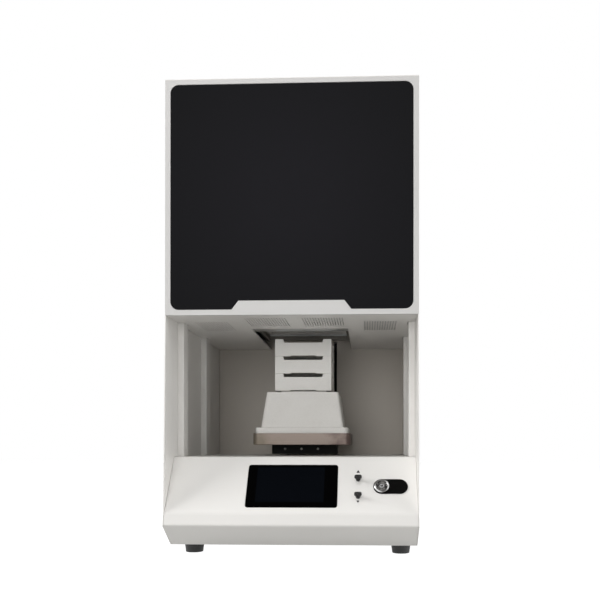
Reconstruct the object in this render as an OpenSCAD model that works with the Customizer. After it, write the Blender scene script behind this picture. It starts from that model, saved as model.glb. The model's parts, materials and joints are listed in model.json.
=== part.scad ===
// Bottom-loading dental sintering furnace with a lift, a loading bay and a sloping console.
// Millimetres. X is to the right, Y runs to the rear, Z is up. The origin is on the surface that
// the furnace stands on, under the middle of its width and depth.

/* [Housing] */
// Width over the side panels
body_w = 370; // [350:1:400]
// Depth from the front plane to the face of the rear cover
rear_d = 460; // [455:1:500]
// Height over the feet and the top cover
body_h = 702; // [690:1:760]
// Height of the upper housing, from its underside to the top
housing_h = 344.5; // [340:0.5:347]
// Thickness of the casing's sheet
sheet = 1.5; // [1:0.1:2]
// Gap between pieces that are fitted beside each other
fit_gap = 0.3; // [0.2:0.05:0.5]
// Height of a foot
foot_h = 19.2; // [15:0.1:24]
// Radius of a foot at its top
foot_top_r = 16; // [12:0.5:18]
// Radius of a foot at the bottom
foot_low_r = 13.5; // [10:0.5:16]
// Distance of a foot's centre from the middle plane
foot_x = 163; // [140:1:165]
// Depth of the front feet behind the front plane
front_foot_d = 90; // [80:1:120]
// Distance of the rear feet's centres from the rear cover's face
rear_foot_in = 55; // [30:1:100]

/* [Front glass] */
// Width of the white border round the glass
border_w = 8.2; // [6:0.2:16]
// Thickness of the glass
glass_t = 4; // [3:0.5:6]
// How far the glass lies behind the frame's face
glass_recess = 0.5; // [0.2:0.1:1]
// Radius of the glass's corners
glass_r = 12; // [6:1:20]
// Width of the ledge that the glass is bonded to
glass_ledge = 7; // [4:0.5:10]
// Width of the notch at the glass's lower edge
notch_low_w = 175; // [150:1:200]
// Width of the notch at its top
notch_top_w = 155; // [120:1:165]
// Height of the notch
notch_h = 13; // [8:0.5:16]

/* [Loading bay] */
// Depth of the front posts behind the front plane
front_post_d = 64; // [62:1:80]
// Depth of the middle posts behind the front plane
mid_post_d = 217.5; // [205:0.5:225]
// Width of a post, seen from the front
post_w = 9.8; // [8:0.2:12]
// Length of a post's section along the depth
post_l = 25; // [18:1:30]
// Gap round each post where it passes a plate
post_gap = 1.5; // [1:0.1:2]
// Width of the cut-out in the soffit
cutout_w = 158; // [157:0.5:162]
// Depth of the cut-out's front edge behind the front plane
cutout_d = 123; // [112:1:135]
// Width of a slot in the back wall
slot_w = 5.5; // [5:0.1:7]
// Width of a vent slot
vent_slot_w = 2; // [1.5:0.1:3]
// Distance from one vent slot to the next
vent_pitch = 7; // [6:0.5:10]
// Width of a slot in the soffit's vents
soffit_slot_w = 1.2; // [0.8:0.1:1.6]
// Distance from one slot to the next in the soffit's vents
soffit_slot_pitch = 4; // [3:0.5:6]

/* [Console] */
// How far the console's nose stands in front of the front plane
nose_out = 13; // [11:0.5:20]
// Height of the nose, where the undercut starts
nose_z = 52; // [45:0.5:58]
// How far the panel's lower edge stands in front of the front plane
brow_out = 8.8; // [6:0.2:10]
// Height of the panel's lower edge
brow_z = 69.6; // [64:0.2:72]
// Depth of the panel's upper edge behind the front plane
panel_top_d = 44.7; // [40:0.1:50]
// Height of the bay's floor and of the panel's upper edge
bay_floor_z = 150.7; // [149:0.1:154]
// Depth where the undercut meets the underside
undercut_d = 30.3; // [24:0.1:36]
// Length of the flat fold behind the panel's upper edge
fold_l = 14; // [8:1:15]
// Width of the screen's glass
screen_w = 134; // [110:1:138]
// Height of the screen's glass along the slope
screen_h = 72.5; // [55:0.5:74]
// Radius of the screen's corners
screen_r = 4; // [2:0.5:8]
// Distance down the slope from the panel's upper edge to the screen
screen_top_s = 14.6; // [10:0.1:18]
// Distance of the up and down buttons from the middle plane
button_x = 97; // [93:0.5:100]
// Distance down the slope to the up button
up_s = 40; // [34:0.5:44]
// Distance down the slope to the down button
down_s = 69; // [63:0.5:74]
// Width of a push button's cap
cap_w = 10.8; // [9:0.1:12]
// Height of a push button's cap
cap_l = 7; // [6.4:0.1:9]
// Travel of a push button
cap_travel = 1.5; // [1:0.1:2]
// Distance of the power button from the middle plane
power_x = 131.6; // [130:0.1:134]
// Distance down the slope to the power button
power_s = 51.8; // [45:0.1:58]
// Radius of the power switch's ring
power_ring_r = 11; // [10.5:0.1:12]
// Radius of the power button
power_cap_r = 8.3; // [6:0.1:8.6]
// Travel of the power button
power_travel = 1.5; // [1:0.1:2.5]
// Width of the power switch's plate
power_plate_w = 50.5; // [48:0.5:53]
// Height of the power switch's plate
power_plate_h = 24.4; // [24.2:0.1:30]
// Thickness of the power switch's plate
power_plate_t = 1.2; // [0.8:0.1:2]

/* [Lift] */
// Depth of the lift's centre behind the front plane
lift_d = 238; // [234:1:242]
// Side of a tray
tray_w = 97; // [85:1:104]
// Height of a tray
tray_h = 29.5; // [26:0.5:29.5]
// Thickness of a tray's walls
tray_wall = 5; // [3:0.5:8]
// Thickness of a tray's floor
tray_floor = 4; // [3:0.5:8]
// Width of the notch in a tray's rim at the top
rim_notch_w = 69; // [40:1:72]
// Depth of the notch in a tray's rim
rim_notch_h = 6; // [3:0.5:8]
// Width of the low arch under a tray's edges
foot_arch_w = 46; // [20:1:60]
// Height of the low arch
foot_arch_h = 1.3; // [0.8:0.1:2]
// Gap between stacked trays
tray_gap = 0.2; // [0.1:0.05:0.3]
// Side of the tile under the trays
tile_w = 78; // [60:1:84]
// Thickness of the tile under the trays
tile_t = 3.3; // [2.5:0.1:4]
// Side of the fibre plug at its top
plug_top_w = 122; // [108:1:126]
// Side of the fibre plug at its foot
plug_low_w = 140; // [128:1:144]
// Height of the fibre plug
plug_h = 60.7; // [53:0.1:62]
// Radius of the fibre plug's upright edges
plug_r = 5; // [3:0.5:8]
// Side of the fibre base whose lip shows under the plug
base_w = 156; // [150:1:156]
// Height of the base's lip over the pan
lip_h = 9.6; // [6:0.1:9.6]
// Side of the metal pan
pan_w = 164; // [162:1:170]
// Height of the metal pan
pan_h = 19.4; // [15:0.1:20]
// Radius of the pan's upright edges
pan_r = 10; // [6:1:14]
// Width of the cross-member under the pan
member_w = 115; // [110:1:130]
// Depth of the cross-member along the furnace's depth
member_l = 38; // [30:1:60]
// Height of the cross-member
member_h = 16; // [12:0.5:17]
// Gap under the cross-member with the lift down
member_gap = 2.3; // [1:0.1:3]
// Distance of a lift arm from the middle plane
arm_x = 47.5; // [44:0.5:50]
// Thickness of a lift arm
arm_t = 4; // [3:0.5:4]
// Gap between the raised pan and the soffit
stop_gap = 0.6; // [0.4:0.1:1]

/* [Lift drive] */
// Distance from the drive's axis to the rear cover's face
drive_in = 45; // [42:0.5:50]
// Distance from the bay's back wall to the drive's axis
drive_room = 45; // [42:0.5:50]
// Distance of a guide rod from the middle plane
rod_x = 62; // [58:0.5:66]
// Radius of a guide rod
rod_r = 6; // [5:0.5:7]
// Radius of a linear bearing
bearing_r = 10.5; // [9.5:0.5:12]
// Radius of the lead screw
screw_r = 6; // [5:0.5:7]
// Running clearance of a turning or sliding fit
run_gap = 0.05; // [0.02:0.01:0.08]
// Height of the carriage
carriage_h = 44; // [36:1:44]
// Side of the lift motor
motor_w = 57; // [48:1:60]
// Height of the lift motor
motor_h = 54; // [40:1:56]
// Thickness of a drive bracket
bracket_t = 8; // [5:0.5:10]

/* [Furnace] */
// Height of the platform over the housing's underside
platform_rise = 17.5; // [16.5:0.1:20]
// Thickness of the platform
platform_t = 3; // [2:0.5:4]
// Side of the mouth in the platform
mouth_w = 146; // [144:1:150]
// Gap between the plug and the mouth
mouth_gap = 3; // [2:0.5:4]
// Width of the furnace shell
shell_w = 300; // [290:1:310]
// Depth of the furnace shell
shell_l = 290; // [280:1:300]
// Thickness of the insulation floor
floor_t = 53.5; // [50:0.5:54]
// Side of the firing chamber
chamber_w = 170; // [160:1:180]
// Height of the firing chamber
chamber_h = 140; // [110:1:145]
// Thickness of the insulation roof
roof_t = 58; // [50:1:60]
// Distance of the heating elements from the middle plane
element_x = 70; // [66:0.5:74]
// Distance between the legs of a heating element
element_leg = 30; // [24:1:36]
// Radius of a heating element in the chamber
element_r = 2; // [1.5:0.1:3]
// Radius of a heating element's terminal
terminal_r = 4; // [3.2:0.1:4.5]

/* [Rear] */
// Side of the cooling fan
fan_w = 120; // [92:1:120]
// Distance of the fan's centre from the top
fan_drop = 142; // [110:1:160]
// Length of the fan along the furnace's depth
fan_l = 25; // [20:1:32]
// Radius of the fan guard's wire
guard_wire_r = 1.1; // [0.8:0.1:1.5]
// Distance of the mains inlet from the middle plane
inlet_x = 130; // [120:1:140]
// Height of the mains inlet's centre
inlet_z = 78; // [70:1:110]

/* [Hidden] */
$fn = 48;
// An overlap that only keeps cuts clean
eps = 0.05;
// Sides of a hull's round children
hull_fn = 32;

// How far the fan guard stands behind the rear cover
guard_proud = 4 * guard_wire_r;
// Radii of the screws: shanks and heads
shank_r = 1.5;
head_r = 3.4;
head_h = 2;
shank_l = 6;
front_y = nose_out - (nose_out + rear_d + guard_proud) / 2;
// Inner face of a side panel, and the edge of what fits between the two panels
wall_x = body_w / 2 - sheet;
inner_x = wall_x - fit_gap;
rear_in_d = rear_d - sheet;
rear_foot_d = rear_d - rear_foot_in;
drive_d = rear_d - drive_in;
back_wall_d = drive_d - drive_room;
base_top = foot_h + sheet;
cover_z = body_h - sheet;

soffit_z = body_h - housing_h;
platform_z = soffit_z + platform_rise;
fan_z = body_h - fan_drop;

fascia_t = glass_recess + glass_t + sheet;
glass_low_z = soffit_z + border_w;
glass_top_z = body_h - border_w;

// The console's panel, as a plane
panel_run = panel_top_d + brow_out;
panel_rise = bay_floor_z - brow_z;
panel_tilt = atan2(panel_rise, panel_run);
screen_s = screen_top_s + screen_h / 2;
// A little play between the screen's glass and its opening
screen_gap = 0.3;
glass_proud = 0.5;
module_t = 12;
board_drop = 27;
board_t = 1.6;

member_z = bay_floor_z + member_gap;
pan_z = member_z + member_h;
pan_top_z = pan_z + pan_h;
plug_z = pan_top_z + lip_h;
tile_z = plug_z + plug_h;
tray_z = tile_z + tile_t;
tray_pitch = tray_h + tray_gap;
lift_travel = soffit_z - pan_top_z - stop_gap;
seal_gap = 0.6;
seal_z = plug_z + lift_travel + seal_gap;
shell_z = platform_z + platform_t;
chamber_z = shell_z + floor_t;
roof_z = chamber_z + chamber_h;
roof_top_z = roof_z + roof_t;
shell_top_z = roof_top_z + fit_gap + sheet;
insulation_w = shell_w - 2 * (sheet + fit_gap);
insulation_l = shell_l - 2 * (sheet + fit_gap);

// The lift's carriage and what it runs on
drive_gap = 3;
carriage_rim = 7;
carriage_wall = 2.5;
carriage_z = pan_z - drive_gap - carriage_h;
carriage_w = 2 * (rod_x + bearing_r + carriage_rim);
carriage_l = 2 * (bearing_r + carriage_wall);
arm_drop_d = back_wall_d + 10;
arm_step = 4;
bracket_rim = 5;
bracket_w = carriage_w + 2 * bracket_rim;
bracket_top_z = platform_z - bracket_rim - bracket_t;
coupling_h = 24;
coupling_r = 11;
bracket_low_z = carriage_z - 2 * drive_gap - coupling_h - bracket_t;
screw_low_z = bracket_low_z + bracket_t + drive_gap + coupling_h / 2;
shaft_r = 4;
shaft_l = 18;

function fy(d) = front_y + d;
function unit(v) = v / norm(v);
function left_of(v) = [-v[1], v[0]];
// The corner i of an open line, moved t to the left of its direction, with mitred corners
function moved(p, i, t) =
    let (a = i > 0 ? unit(p[i] - p[i - 1]) : unit(p[1] - p[0]),
         b = i < len(p) - 1 ? unit(p[i + 1] - p[i]) : a,
         n = unit(left_of(a) + left_of(b)))
    p[i] + n * t / (n * left_of(a));
// A strip of sheet of thickness t that follows an open line
function strip(p, t) = concat(p, [for (i = [len(p) - 1:-1:0]) moved(p, i, t)]);

// A block given by its low and high corners, with depths behind the front plane
module block(x0, x1, d0, d1, z0, z1) {
    translate([x0, fy(d0), z0]) cube([x1 - x0, d1 - d0, z1 - z0]);
}
// A block centred on the lift, square where no depth l is given
module lift_block(w, z0, z1, l = 0) {
    half = (l > 0 ? l : w) / 2;
    block(-w / 2, w / 2, lift_d - half, lift_d + half, z0, z1);
}
// A shape drawn in X and Z, from depth d0 to d1
module facing(d0, d1) {
    translate([0, fy(d1), 0]) rotate([90, 0, 0]) linear_extrude(d1 - d0) children();
}
// A profile drawn in depth and height, from x0 to x1
module across(x0, x1) {
    translate([x0, front_y, 0]) rotate([90, 0, 90]) linear_extrude(x1 - x0) children();
}
// Local Z is the panel's outward normal, local Y runs up the slope
module on_panel(x, s) {
    translate([x, fy(panel_top_d - s * cos(panel_tilt)), bay_floor_z - s * sin(panel_tilt)])
        rotate([panel_tilt, 0, 0]) children();
}
module both_sides() {
    children();
    mirror([1, 0, 0]) children();
}
module rounded(w, h, r) {
    square([w - 2 * r, h], center = true);
    square([w, h - 2 * r], center = true);
    for (x = [-1, 1], y = [-1, 1]) translate([x * (w / 2 - r), y * (h / 2 - r)]) circle(r);
}
module obround(w, h) {
    square([w - h, h], center = true);
    for (x = [-1, 1]) translate([x * (w - h) / 2, 0]) circle(h / 2);
}
// A row of upright or level slots in the XY plane, each l long, that fills w by l
module slots(w, l, slot = vent_slot_w, pitch = vent_pitch) {
    count = floor(w / pitch);
    for (i = [0:count - 1]) translate([(i - (count - 1) / 2) * pitch, 0])
        square([slot, l], center = true);
}

// Casing
module side_sheet() {
    outline = [
        [fascia_t, cover_z], [fascia_t, soffit_z], [0, soffit_z], [-brow_out, brow_z],
        [-nose_out, nose_z], [undercut_d, foot_h], [rear_d, foot_h], [rear_d, cover_z],
    ];
    difference() {
        across(wall_x, body_w / 2) polygon(outline);
        across(wall_x - 1, body_w / 2 + 1) {
            translate([rear_d - side_vent_in, cover_z - side_vent_drop]) slots(side_vent_w, side_vent_l);
            translate([rear_d - side_vent_in, foot_h + side_vent_rise]) slots(side_vent_w, side_vent_l);
        }
    }
}
// Size and place of a side panel's vent fields
side_vent_w = 126;
side_vent_l = 40;
side_vent_in = 110;
side_vent_drop = 70;
side_vent_rise = 60;
module side_panel_left() {
    color("white") mirror([1, 0, 0]) side_sheet();
}
module side_panel_right() {
    color("white") side_sheet();
}
module top_cover() {
    color("white") difference() {
        block(-body_w / 2, body_w / 2, 0, rear_d, cover_z, body_h);
        translate([0, fy(lift_d), cover_z - 1]) linear_extrude(sheet + 2) both_sides() {
            translate([top_vent_x, 0]) slots(top_vent_w, top_vent_l);
        }
    }
}
// Size and place of the top cover's two vent fields
top_vent_x = 60;
top_vent_w = 91;
top_vent_l = 60;

// Places of the rear cover's screws, as x and z
screw_in = 8;
screw_rows = 4;
screw_pitch = (cover_z - base_top - 2 * screw_in) / (screw_rows - 1);
screw_places = [
    for (side = [-1, 1], k = [0:screw_rows - 1])
    [side * (inner_x - screw_in), base_top + screw_in + k * screw_pitch]
];
inlet_w = 48;
inlet_h = 32;
inlet_body_w = 33;
inlet_body_h = 26;
inlet_flange_t = 2.5;
inlet_body_l = 26;
inlet_wall = 2.5;
rear_vent_w = 105;
rear_vent_l = 60;
rear_vent_x = 84;
rear_vent_drop = 107.5;
rear_vent_z = soffit_z - rear_vent_drop;
fan_wall = 2;
module rear_cover() {
    color("white") difference() {
        block(-inner_x, inner_x, rear_in_d, rear_d, base_top, cover_z - fit_gap);
        facing(rear_in_d - 1, rear_d + 1) {
            translate([0, fan_z]) circle(fan_w / 2 - fan_wall);
            translate([-inlet_x, inlet_z])
                square([inlet_body_w + fit_gap, inlet_body_h + fit_gap], center = true);
            for (p = screw_places) translate(p) circle(shank_r + fit_gap);
            both_sides() translate([rear_vent_x, rear_vent_z]) slots(rear_vent_w, rear_vent_l);
        }
    }
}
module casing_screws() {
    color("silver") for (p = screw_places) translate([p[0], fy(rear_d), p[1]]) rotate([-90, 0, 0]) {
        cylinder(r = head_r, h = head_h);
        translate([0, 0, -shank_l]) cylinder(r = shank_r, h = shank_l + eps);
    }
}

// The glass's outline, larger or smaller by grow on every side
module glass_outline(grow) {
    w = body_w - 2 * border_w + 2 * grow;
    h = glass_top_z - glass_low_z + 2 * grow;
    difference() {
        translate([0, (glass_top_z + glass_low_z) / 2]) rounded(w, h, glass_r + grow);
        translate([0, glass_low_z - grow]) polygon([
            [-notch_low_w / 2 + grow, -eps], [notch_low_w / 2 - grow, -eps],
            [notch_top_w / 2 - grow, notch_h], [-notch_top_w / 2 + grow, notch_h],
        ]);
    }
}
module front_fascia() {
    color("white") difference() {
        block(-body_w / 2, body_w / 2, 0, fascia_t, soffit_z, cover_z);
        facing(-1, fascia_t - sheet) glass_outline(fit_gap);
        facing(-1, fascia_t + 1) glass_outline(-glass_ledge);
    }
}
module glass_panel() {
    color("#15161c") facing(glass_recess, glass_recess + glass_t) glass_outline(0);
}

// A field of vent slots between two depths and two distances from the middle plane
module soffit_vent(v) {
    translate([(v[0] + v[1]) / 2, (v[2] + v[3]) / 2])
        slots(v[1] - v[0], v[3] - v[2], soffit_slot_w, soffit_slot_pitch);
}
module post_holes(d) {
    translate([wall_x - post_w - post_gap, d - post_gap])
        square([post_w + post_gap + 1, post_l + 2 * post_gap]);
}
// Places of the soffit's vent fields, as nearest and farthest x and depth
front_vent = [11, 75, 26, 99];
outer_vent = [103, 158, 58, 146];
slot_below = 6;
slot_above = 3;
module soffit_plate() {
    color("white") translate([0, front_y, soffit_z]) linear_extrude(sheet) difference() {
        translate([-inner_x, fascia_t + fit_gap]) square([2 * inner_x, back_wall_d - fascia_t - 2 * fit_gap]);
        translate([-cutout_w / 2, cutout_d]) square([cutout_w, back_wall_d]);
        both_sides() {
            post_holes(front_post_d);
            post_holes(mid_post_d);
            soffit_vent(front_vent);
            soffit_vent(outer_vent);
        }
    }
}
module bay_back_wall() {
    color("#9a978f") difference() {
        block(-inner_x, inner_x, back_wall_d, back_wall_d + sheet, base_top, platform_z);
        both_sides() block(arm_x - slot_w / 2, arm_x + slot_w / 2, back_wall_d - 1, back_wall_d + sheet + 1,
            member_z - slot_below, platform_z - slot_above);
    }
}
module bay_floor() {
    color("#c9c8c4") translate([0, front_y, bay_floor_z - sheet]) linear_extrude(sheet) difference() {
        translate([-inner_x, panel_top_d + fold_l + fit_gap])
            square([2 * inner_x, back_wall_d - panel_top_d - fold_l - 2 * fit_gap]);
        both_sides() {
            post_holes(front_post_d);
            post_holes(mid_post_d);
        }
    }
}
// The outer line of the console's cover, from the underside to the bay's floor
console_line = [
    [undercut_d, foot_h], [-nose_out, nose_z], [-brow_out, brow_z], [panel_top_d, bay_floor_z],
    [panel_top_d + fold_l, bay_floor_z],
];
module console_cover() {
    color("white") difference() {
        across(-inner_x, inner_x) polygon(strip(console_line, -sheet));
        on_panel(0, screen_s) translate([0, 0, -3 * sheet]) linear_extrude(6 * sheet)
            rounded(screen_w + 2 * screen_gap, screen_h + 2 * screen_gap, screen_r + screen_gap);
        for (s = [up_s, down_s]) on_panel(button_x, s) translate([0, 0, -3 * sheet])
            cylinder(r = bushing_r + fit_gap, h = 6 * sheet);
        on_panel(power_x, power_s) translate([0, 0, -3 * sheet])
            cylinder(r = power_body_r + fit_gap, h = 6 * sheet);
    }
}
module bottom_pan() {
    pan_front_d = undercut_d + sheet + fit_gap;
    color("#d8d8d6") difference() {
        block(-inner_x, inner_x, pan_front_d, rear_in_d - fit_gap, foot_h, base_top);
        translate([0, fy(lift_d), foot_h - 1]) linear_extrude(sheet + 2) both_sides() {
            translate([base_vent_x, base_vent_shift]) slots(base_vent_w, base_vent_l);
        }
    }
}
// Size and place of the intake slots under the base
base_vent_x = 95;
base_vent_shift = 110;
base_vent_w = 84;
base_vent_l = 30;
module feet() {
    color("#141414") both_sides() for (d = [front_foot_d, rear_foot_d]) {
        translate([foot_x, fy(d), 0]) cylinder(r1 = foot_low_r, r2 = foot_top_r, h = foot_h);
    }
}
module post(d) {
    difference() {
        block(wall_x - post_w, wall_x, d, d + post_l, base_top, platform_z);
        block(wall_x - post_w + sheet, wall_x - sheet, d + sheet, d + post_l - sheet,
            base_top - 1, platform_z + 1);
    }
}
module front_posts() {
    color("white") both_sides() post(front_post_d);
}
module middle_posts() {
    color("white") both_sides() post(mid_post_d);
}

// Console
module screen_glass() {
    color("#08090c") on_panel(0, screen_s) translate([0, 0, screen_gap - sheet])
        linear_extrude(sheet - screen_gap + glass_proud) rounded(screen_w, screen_h, screen_r);
}
// The display module's rim round the glass, and the tray in its back
module_rim = 3;
module_wall = 13;
module_tray = 2;
module display_module() {
    w = screen_w + 2 * module_rim;
    h = screen_h + 2 * module_rim;
    color("#8f9396") on_panel(0, screen_s) translate([0, 0, -sheet - module_t]) difference() {
        linear_extrude(module_t) square([w, h], center = true);
        translate([0, 0, -eps]) linear_extrude(module_tray)
            square([w - 2 * module_wall, h - 2 * module_wall], center = true);
    }
}
board_rim = 13;
board_w = screen_w + 2 * board_rim;
board_h = 80;
standoff_x = screen_w / 2 + 8;
standoff_y = 30;
standoff_r = 2.5;
// Chips and capacitors on the control board: their pitch, places up the board and sizes
chip_pitch = 30;
chip_y = 10;
chip_w = 18;
chip_l = 22;
chip_h = 6;
capacitor_y = -22;
capacitor_r = 5;
capacitor_h = 11;
module control_board() {
    on_panel(0, screen_s) translate([0, 0, -sheet - board_drop]) {
        color("#1f6b3a") translate([0, 0, -board_t]) linear_extrude(board_t)
            square([board_w, board_h], center = true);
        color("silver") for (x = [-standoff_x, standoff_x], y = [-standoff_y, standoff_y]) {
            translate([x, y, -eps]) cylinder(r = standoff_r, h = board_drop + eps);
        }
        color("#222222") for (k = [-1.5:1.5]) {
            translate([k * chip_pitch, chip_y, (chip_h - eps) / 2])
                cube([chip_w, chip_l, chip_h + eps], center = true);
            translate([k * chip_pitch, capacitor_y, -eps]) cylinder(r = capacitor_r, h = capacitor_h);
        }
    }
}
bushing_r = 3;
bushing_h = 5.2;
bushing_nut_rim = 0.5;
bushing_nut_h = 1.8;
stem_r = 1.9;
stem_room = 2;
switch_w = 10;
switch_h = 14;
cap_z = bushing_h + cap_travel + 1;
cap_corner_r = 2.6;
cap_side_h = 1.3;
cap_step = 0.8;
cap_top_h = 0.7;
// A push switch: a box behind the panel, and a threaded bushing with its nut in front of it
module push_switch() {
    difference() {
        union() {
            translate([-switch_w / 2, -switch_w / 2, -sheet - switch_h]) cube([switch_w, switch_w, switch_h]);
            translate([0, 0, -sheet - eps]) cylinder(r = bushing_r, h = sheet + eps + bushing_h);
            cylinder(r = bushing_r + bushing_nut_rim, h = bushing_nut_h, $fn = 6);
        }
        translate([0, 0, stem_room - sheet - switch_h])
            cylinder(r = stem_r + run_gap, h = sheet + switch_h + bushing_h);
    }
}
module switch_bodies() {
    color("#3a3a3c") {
        on_panel(button_x, up_s) push_switch();
        on_panel(button_x, down_s) push_switch();
    }
}
// A push button: a stem that slides in the bushing, and a rounded cap with a step round its top
module push_button() {
    stem_z = stem_room - switch_h + cap_travel;
    color("#2c2c2e") {
        translate([0, 0, stem_z]) cylinder(r = stem_r, h = cap_z - stem_z + eps);
        translate([0, 0, cap_z]) linear_extrude(cap_side_h) rounded(cap_w, cap_l, cap_corner_r);
        translate([0, 0, cap_z + cap_side_h - eps]) linear_extrude(cap_top_h + eps)
            rounded(cap_w - 2 * cap_step, cap_l - 2 * cap_step, cap_corner_r - cap_step);
    }
}
module up_button() {
    on_panel(button_x, up_s) push_button();
}
module down_button() {
    on_panel(button_x, down_s) push_button();
}
power_body_r = 9.5;
power_bore = power_cap_r + run_gap;
power_ring_h = 2.2;
power_body_l = 22;
power_cap_h = 6;
module power_plate() {
    shift = (power_plate_w - power_plate_h) / 2;
    color("#101012") on_panel(power_x, power_s) linear_extrude(power_plate_t) difference() {
        translate([shift, 0]) obround(power_plate_w, power_plate_h);
        circle(power_body_r + fit_gap);
    }
}
module power_switch_body() {
    top = power_plate_t + power_ring_h;
    color("silver") on_panel(power_x, power_s) difference() {
        union() {
            translate([0, 0, power_plate_t]) cylinder(r = power_ring_r, h = power_ring_h);
            translate([0, 0, -power_body_l])
                cylinder(r = power_body_r, h = power_body_l + power_plate_t + eps);
        }
        translate([0, 0, top - power_cap_h - power_travel - 1])
            cylinder(r = power_bore, h = power_cap_h + power_travel + 2);
    }
}
module power_button() {
    color("#3c3e42") on_panel(power_x, power_s)
        translate([0, 0, power_plate_t + power_ring_h - power_cap_h - fit_gap])
        cylinder(r = power_cap_r, h = power_cap_h);
}

// Furnace
platform_front_d = 12;
platform_rear_in = 20;
module furnace_platform() {
    color("silver") difference() {
        block(-inner_x, inner_x, platform_front_d, rear_d - platform_rear_in,
            platform_z, platform_z + platform_t);
        lift_block(mouth_w, platform_z - 1, platform_z + platform_t + 1);
    }
}
guard_t = 2;
guard_w = base_w + 4;
guard_rim = 16;
// A plate on three sides of the cut-out, up to the back wall
module mouth_guard() {
    color("#b8b6b0") difference() {
        block(-guard_w / 2 - guard_rim, guard_w / 2 + guard_rim, cutout_d - guard_rim, back_wall_d - fit_gap,
            soffit_z + sheet, soffit_z + sheet + guard_t);
        block(-guard_w / 2, guard_w / 2, lift_d - guard_w / 2, back_wall_d,
            soffit_z, soffit_z + sheet + guard_t + 1);
    }
}
module mouth_seal() {
    color("#e8e6df") difference() {
        lift_block(base_w, seal_z, platform_z);
        lift_block(mouth_w, seal_z - 1, platform_z + 1);
    }
}
// The shell's roof has a square hole round everything that stands on the insulation
shell_hole_w = 190;
module furnace_shell() {
    color("silver") difference() {
        lift_block(shell_w, shell_z, shell_top_z, shell_l);
        lift_block(shell_w - 2 * sheet, shell_z - 1, shell_top_z - sheet, shell_l - 2 * sheet);
        lift_block(shell_hole_w, shell_z, shell_top_z + 1);
    }
}
// Half the side of the mouth that clears the raised plug at height z
function mouth_half(z) =
    plug_low_w / 2 - (z - plug_z - lift_travel) * (plug_low_w - plug_top_w) / 2 / plug_h + mouth_gap;
module insulation_floor() {
    color("#f1efe9") difference() {
        lift_block(insulation_w, shell_z, chamber_z, insulation_l);
        hull() for (z = [shell_z - 1, chamber_z + 1]) {
            lift_block(2 * mouth_half(z), z, z + eps);
        }
    }
}
module insulation_walls() {
    color("#f1efe9") difference() {
        lift_block(insulation_w, chamber_z, roof_z, insulation_l);
        lift_block(chamber_w, chamber_z - 1, roof_z + 1);
    }
}
// Centres of the four heating elements, as x and depth from the lift's centre
element_shift = 38;
element_places = [for (x = [-element_x, element_x], d = [-element_shift, element_shift]) [x, d]];
// Every leg of every heating element
leg_places = [for (p = element_places, s = [-1, 1]) [p[0], p[1] + s * element_leg / 2]];
roof_bore_gap = 1;
couple_r = 4;
couple_d = 60;
couple_drop = 45;
couple_head_r = 11;
couple_head_h = 18;
module insulation_roof() {
    color("#f1efe9") difference() {
        lift_block(insulation_w, roof_z, roof_top_z, insulation_l);
        translate([0, fy(lift_d), roof_z - 1]) {
            for (p = leg_places) translate(p) cylinder(r = terminal_r + roof_bore_gap, h = roof_t + 2);
            translate([0, couple_d, 0]) cylinder(r = couple_r + roof_bore_gap, h = roof_t + 2);
        }
    }
}
element_drop = 110;
// Where a leg thickens into its terminal, under the roof
cone_low = 8;
cone_high = 2;
holder_w = 20;
holder_rim = 12;
holder_h = 14;
terminal_gap = 0.2;
terminal_end = 16;
terminal_top_z = roof_top_z + holder_h + terminal_end;
// A U-shaped element: thin legs and a half ring in the chamber, thick terminals through the roof
module heating_element() {
    bend_r = element_leg / 2;
    bend_z = roof_z - element_drop;
    leg = [
        [0, bend_z], [element_r, bend_z], [element_r, roof_z - cone_low], [terminal_r, roof_z - cone_high],
        [terminal_r, terminal_top_z], [0, terminal_top_z],
    ];
    for (s = [-1, 1]) translate([0, s * bend_r, 0]) rotate_extrude() polygon(leg);
    translate([0, 0, bend_z]) rotate([0, 90, 0]) rotate([0, 0, -90]) rotate_extrude(angle = 180)
        translate([bend_r, 0]) circle(element_r);
}
module heating_elements() {
    color("#6b6a6c") translate([0, fy(lift_d), 0]) for (p = element_places) translate(p) heating_element();
}
module element_holders() {
    for (p = element_places) color("#e9e2d2") translate([p[0], fy(lift_d) + p[1], roof_top_z]) difference() {
        translate([-holder_w / 2, -element_leg / 2 - holder_rim, 0])
            cube([holder_w, element_leg + 2 * holder_rim, holder_h]);
        for (s = [-1, 1]) translate([0, s * element_leg / 2, -1])
            cylinder(r = terminal_r + terminal_gap, h = holder_h + 2);
    }
}
strap_t = 3;
strap_w = 14;
strap_tail = 24;
module strap(from, to) {
    half = strap_w / 2;
    low = [min(from[0], to[0]) - half, min(from[1], to[1]) - half];
    high = [max(from[0], to[0]) + half, max(from[1], to[1]) + half];
    difference() {
        translate([low[0], low[1], 0]) cube([high[0] - low[0], high[1] - low[1], strap_t]);
        for (p = [from, to]) translate([p[0], p[1], -1])
            cylinder(r = terminal_r + terminal_gap, h = strap_t + 2);
    }
}
module element_straps() {
    near = element_shift - element_leg / 2;
    far = element_shift + element_leg / 2;
    color("silver") translate([0, fy(lift_d), roof_top_z + holder_h + fit_gap]) {
        both_sides() strap([element_x, -near], [element_x, near]);
        strap([-element_x, -far], [element_x, -far]);
        for (x = [-element_x, element_x]) strap([x, far], [x, far + strap_tail]);
    }
}
module thermocouple() {
    color("#d9d4c6") translate([0, fy(lift_d) + couple_d, 0]) {
        translate([0, 0, roof_z - couple_drop]) cylinder(r = couple_r, h = couple_drop + roof_t);
        translate([0, 0, roof_top_z]) cylinder(r = couple_head_r, h = couple_head_h);
    }
}

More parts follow.
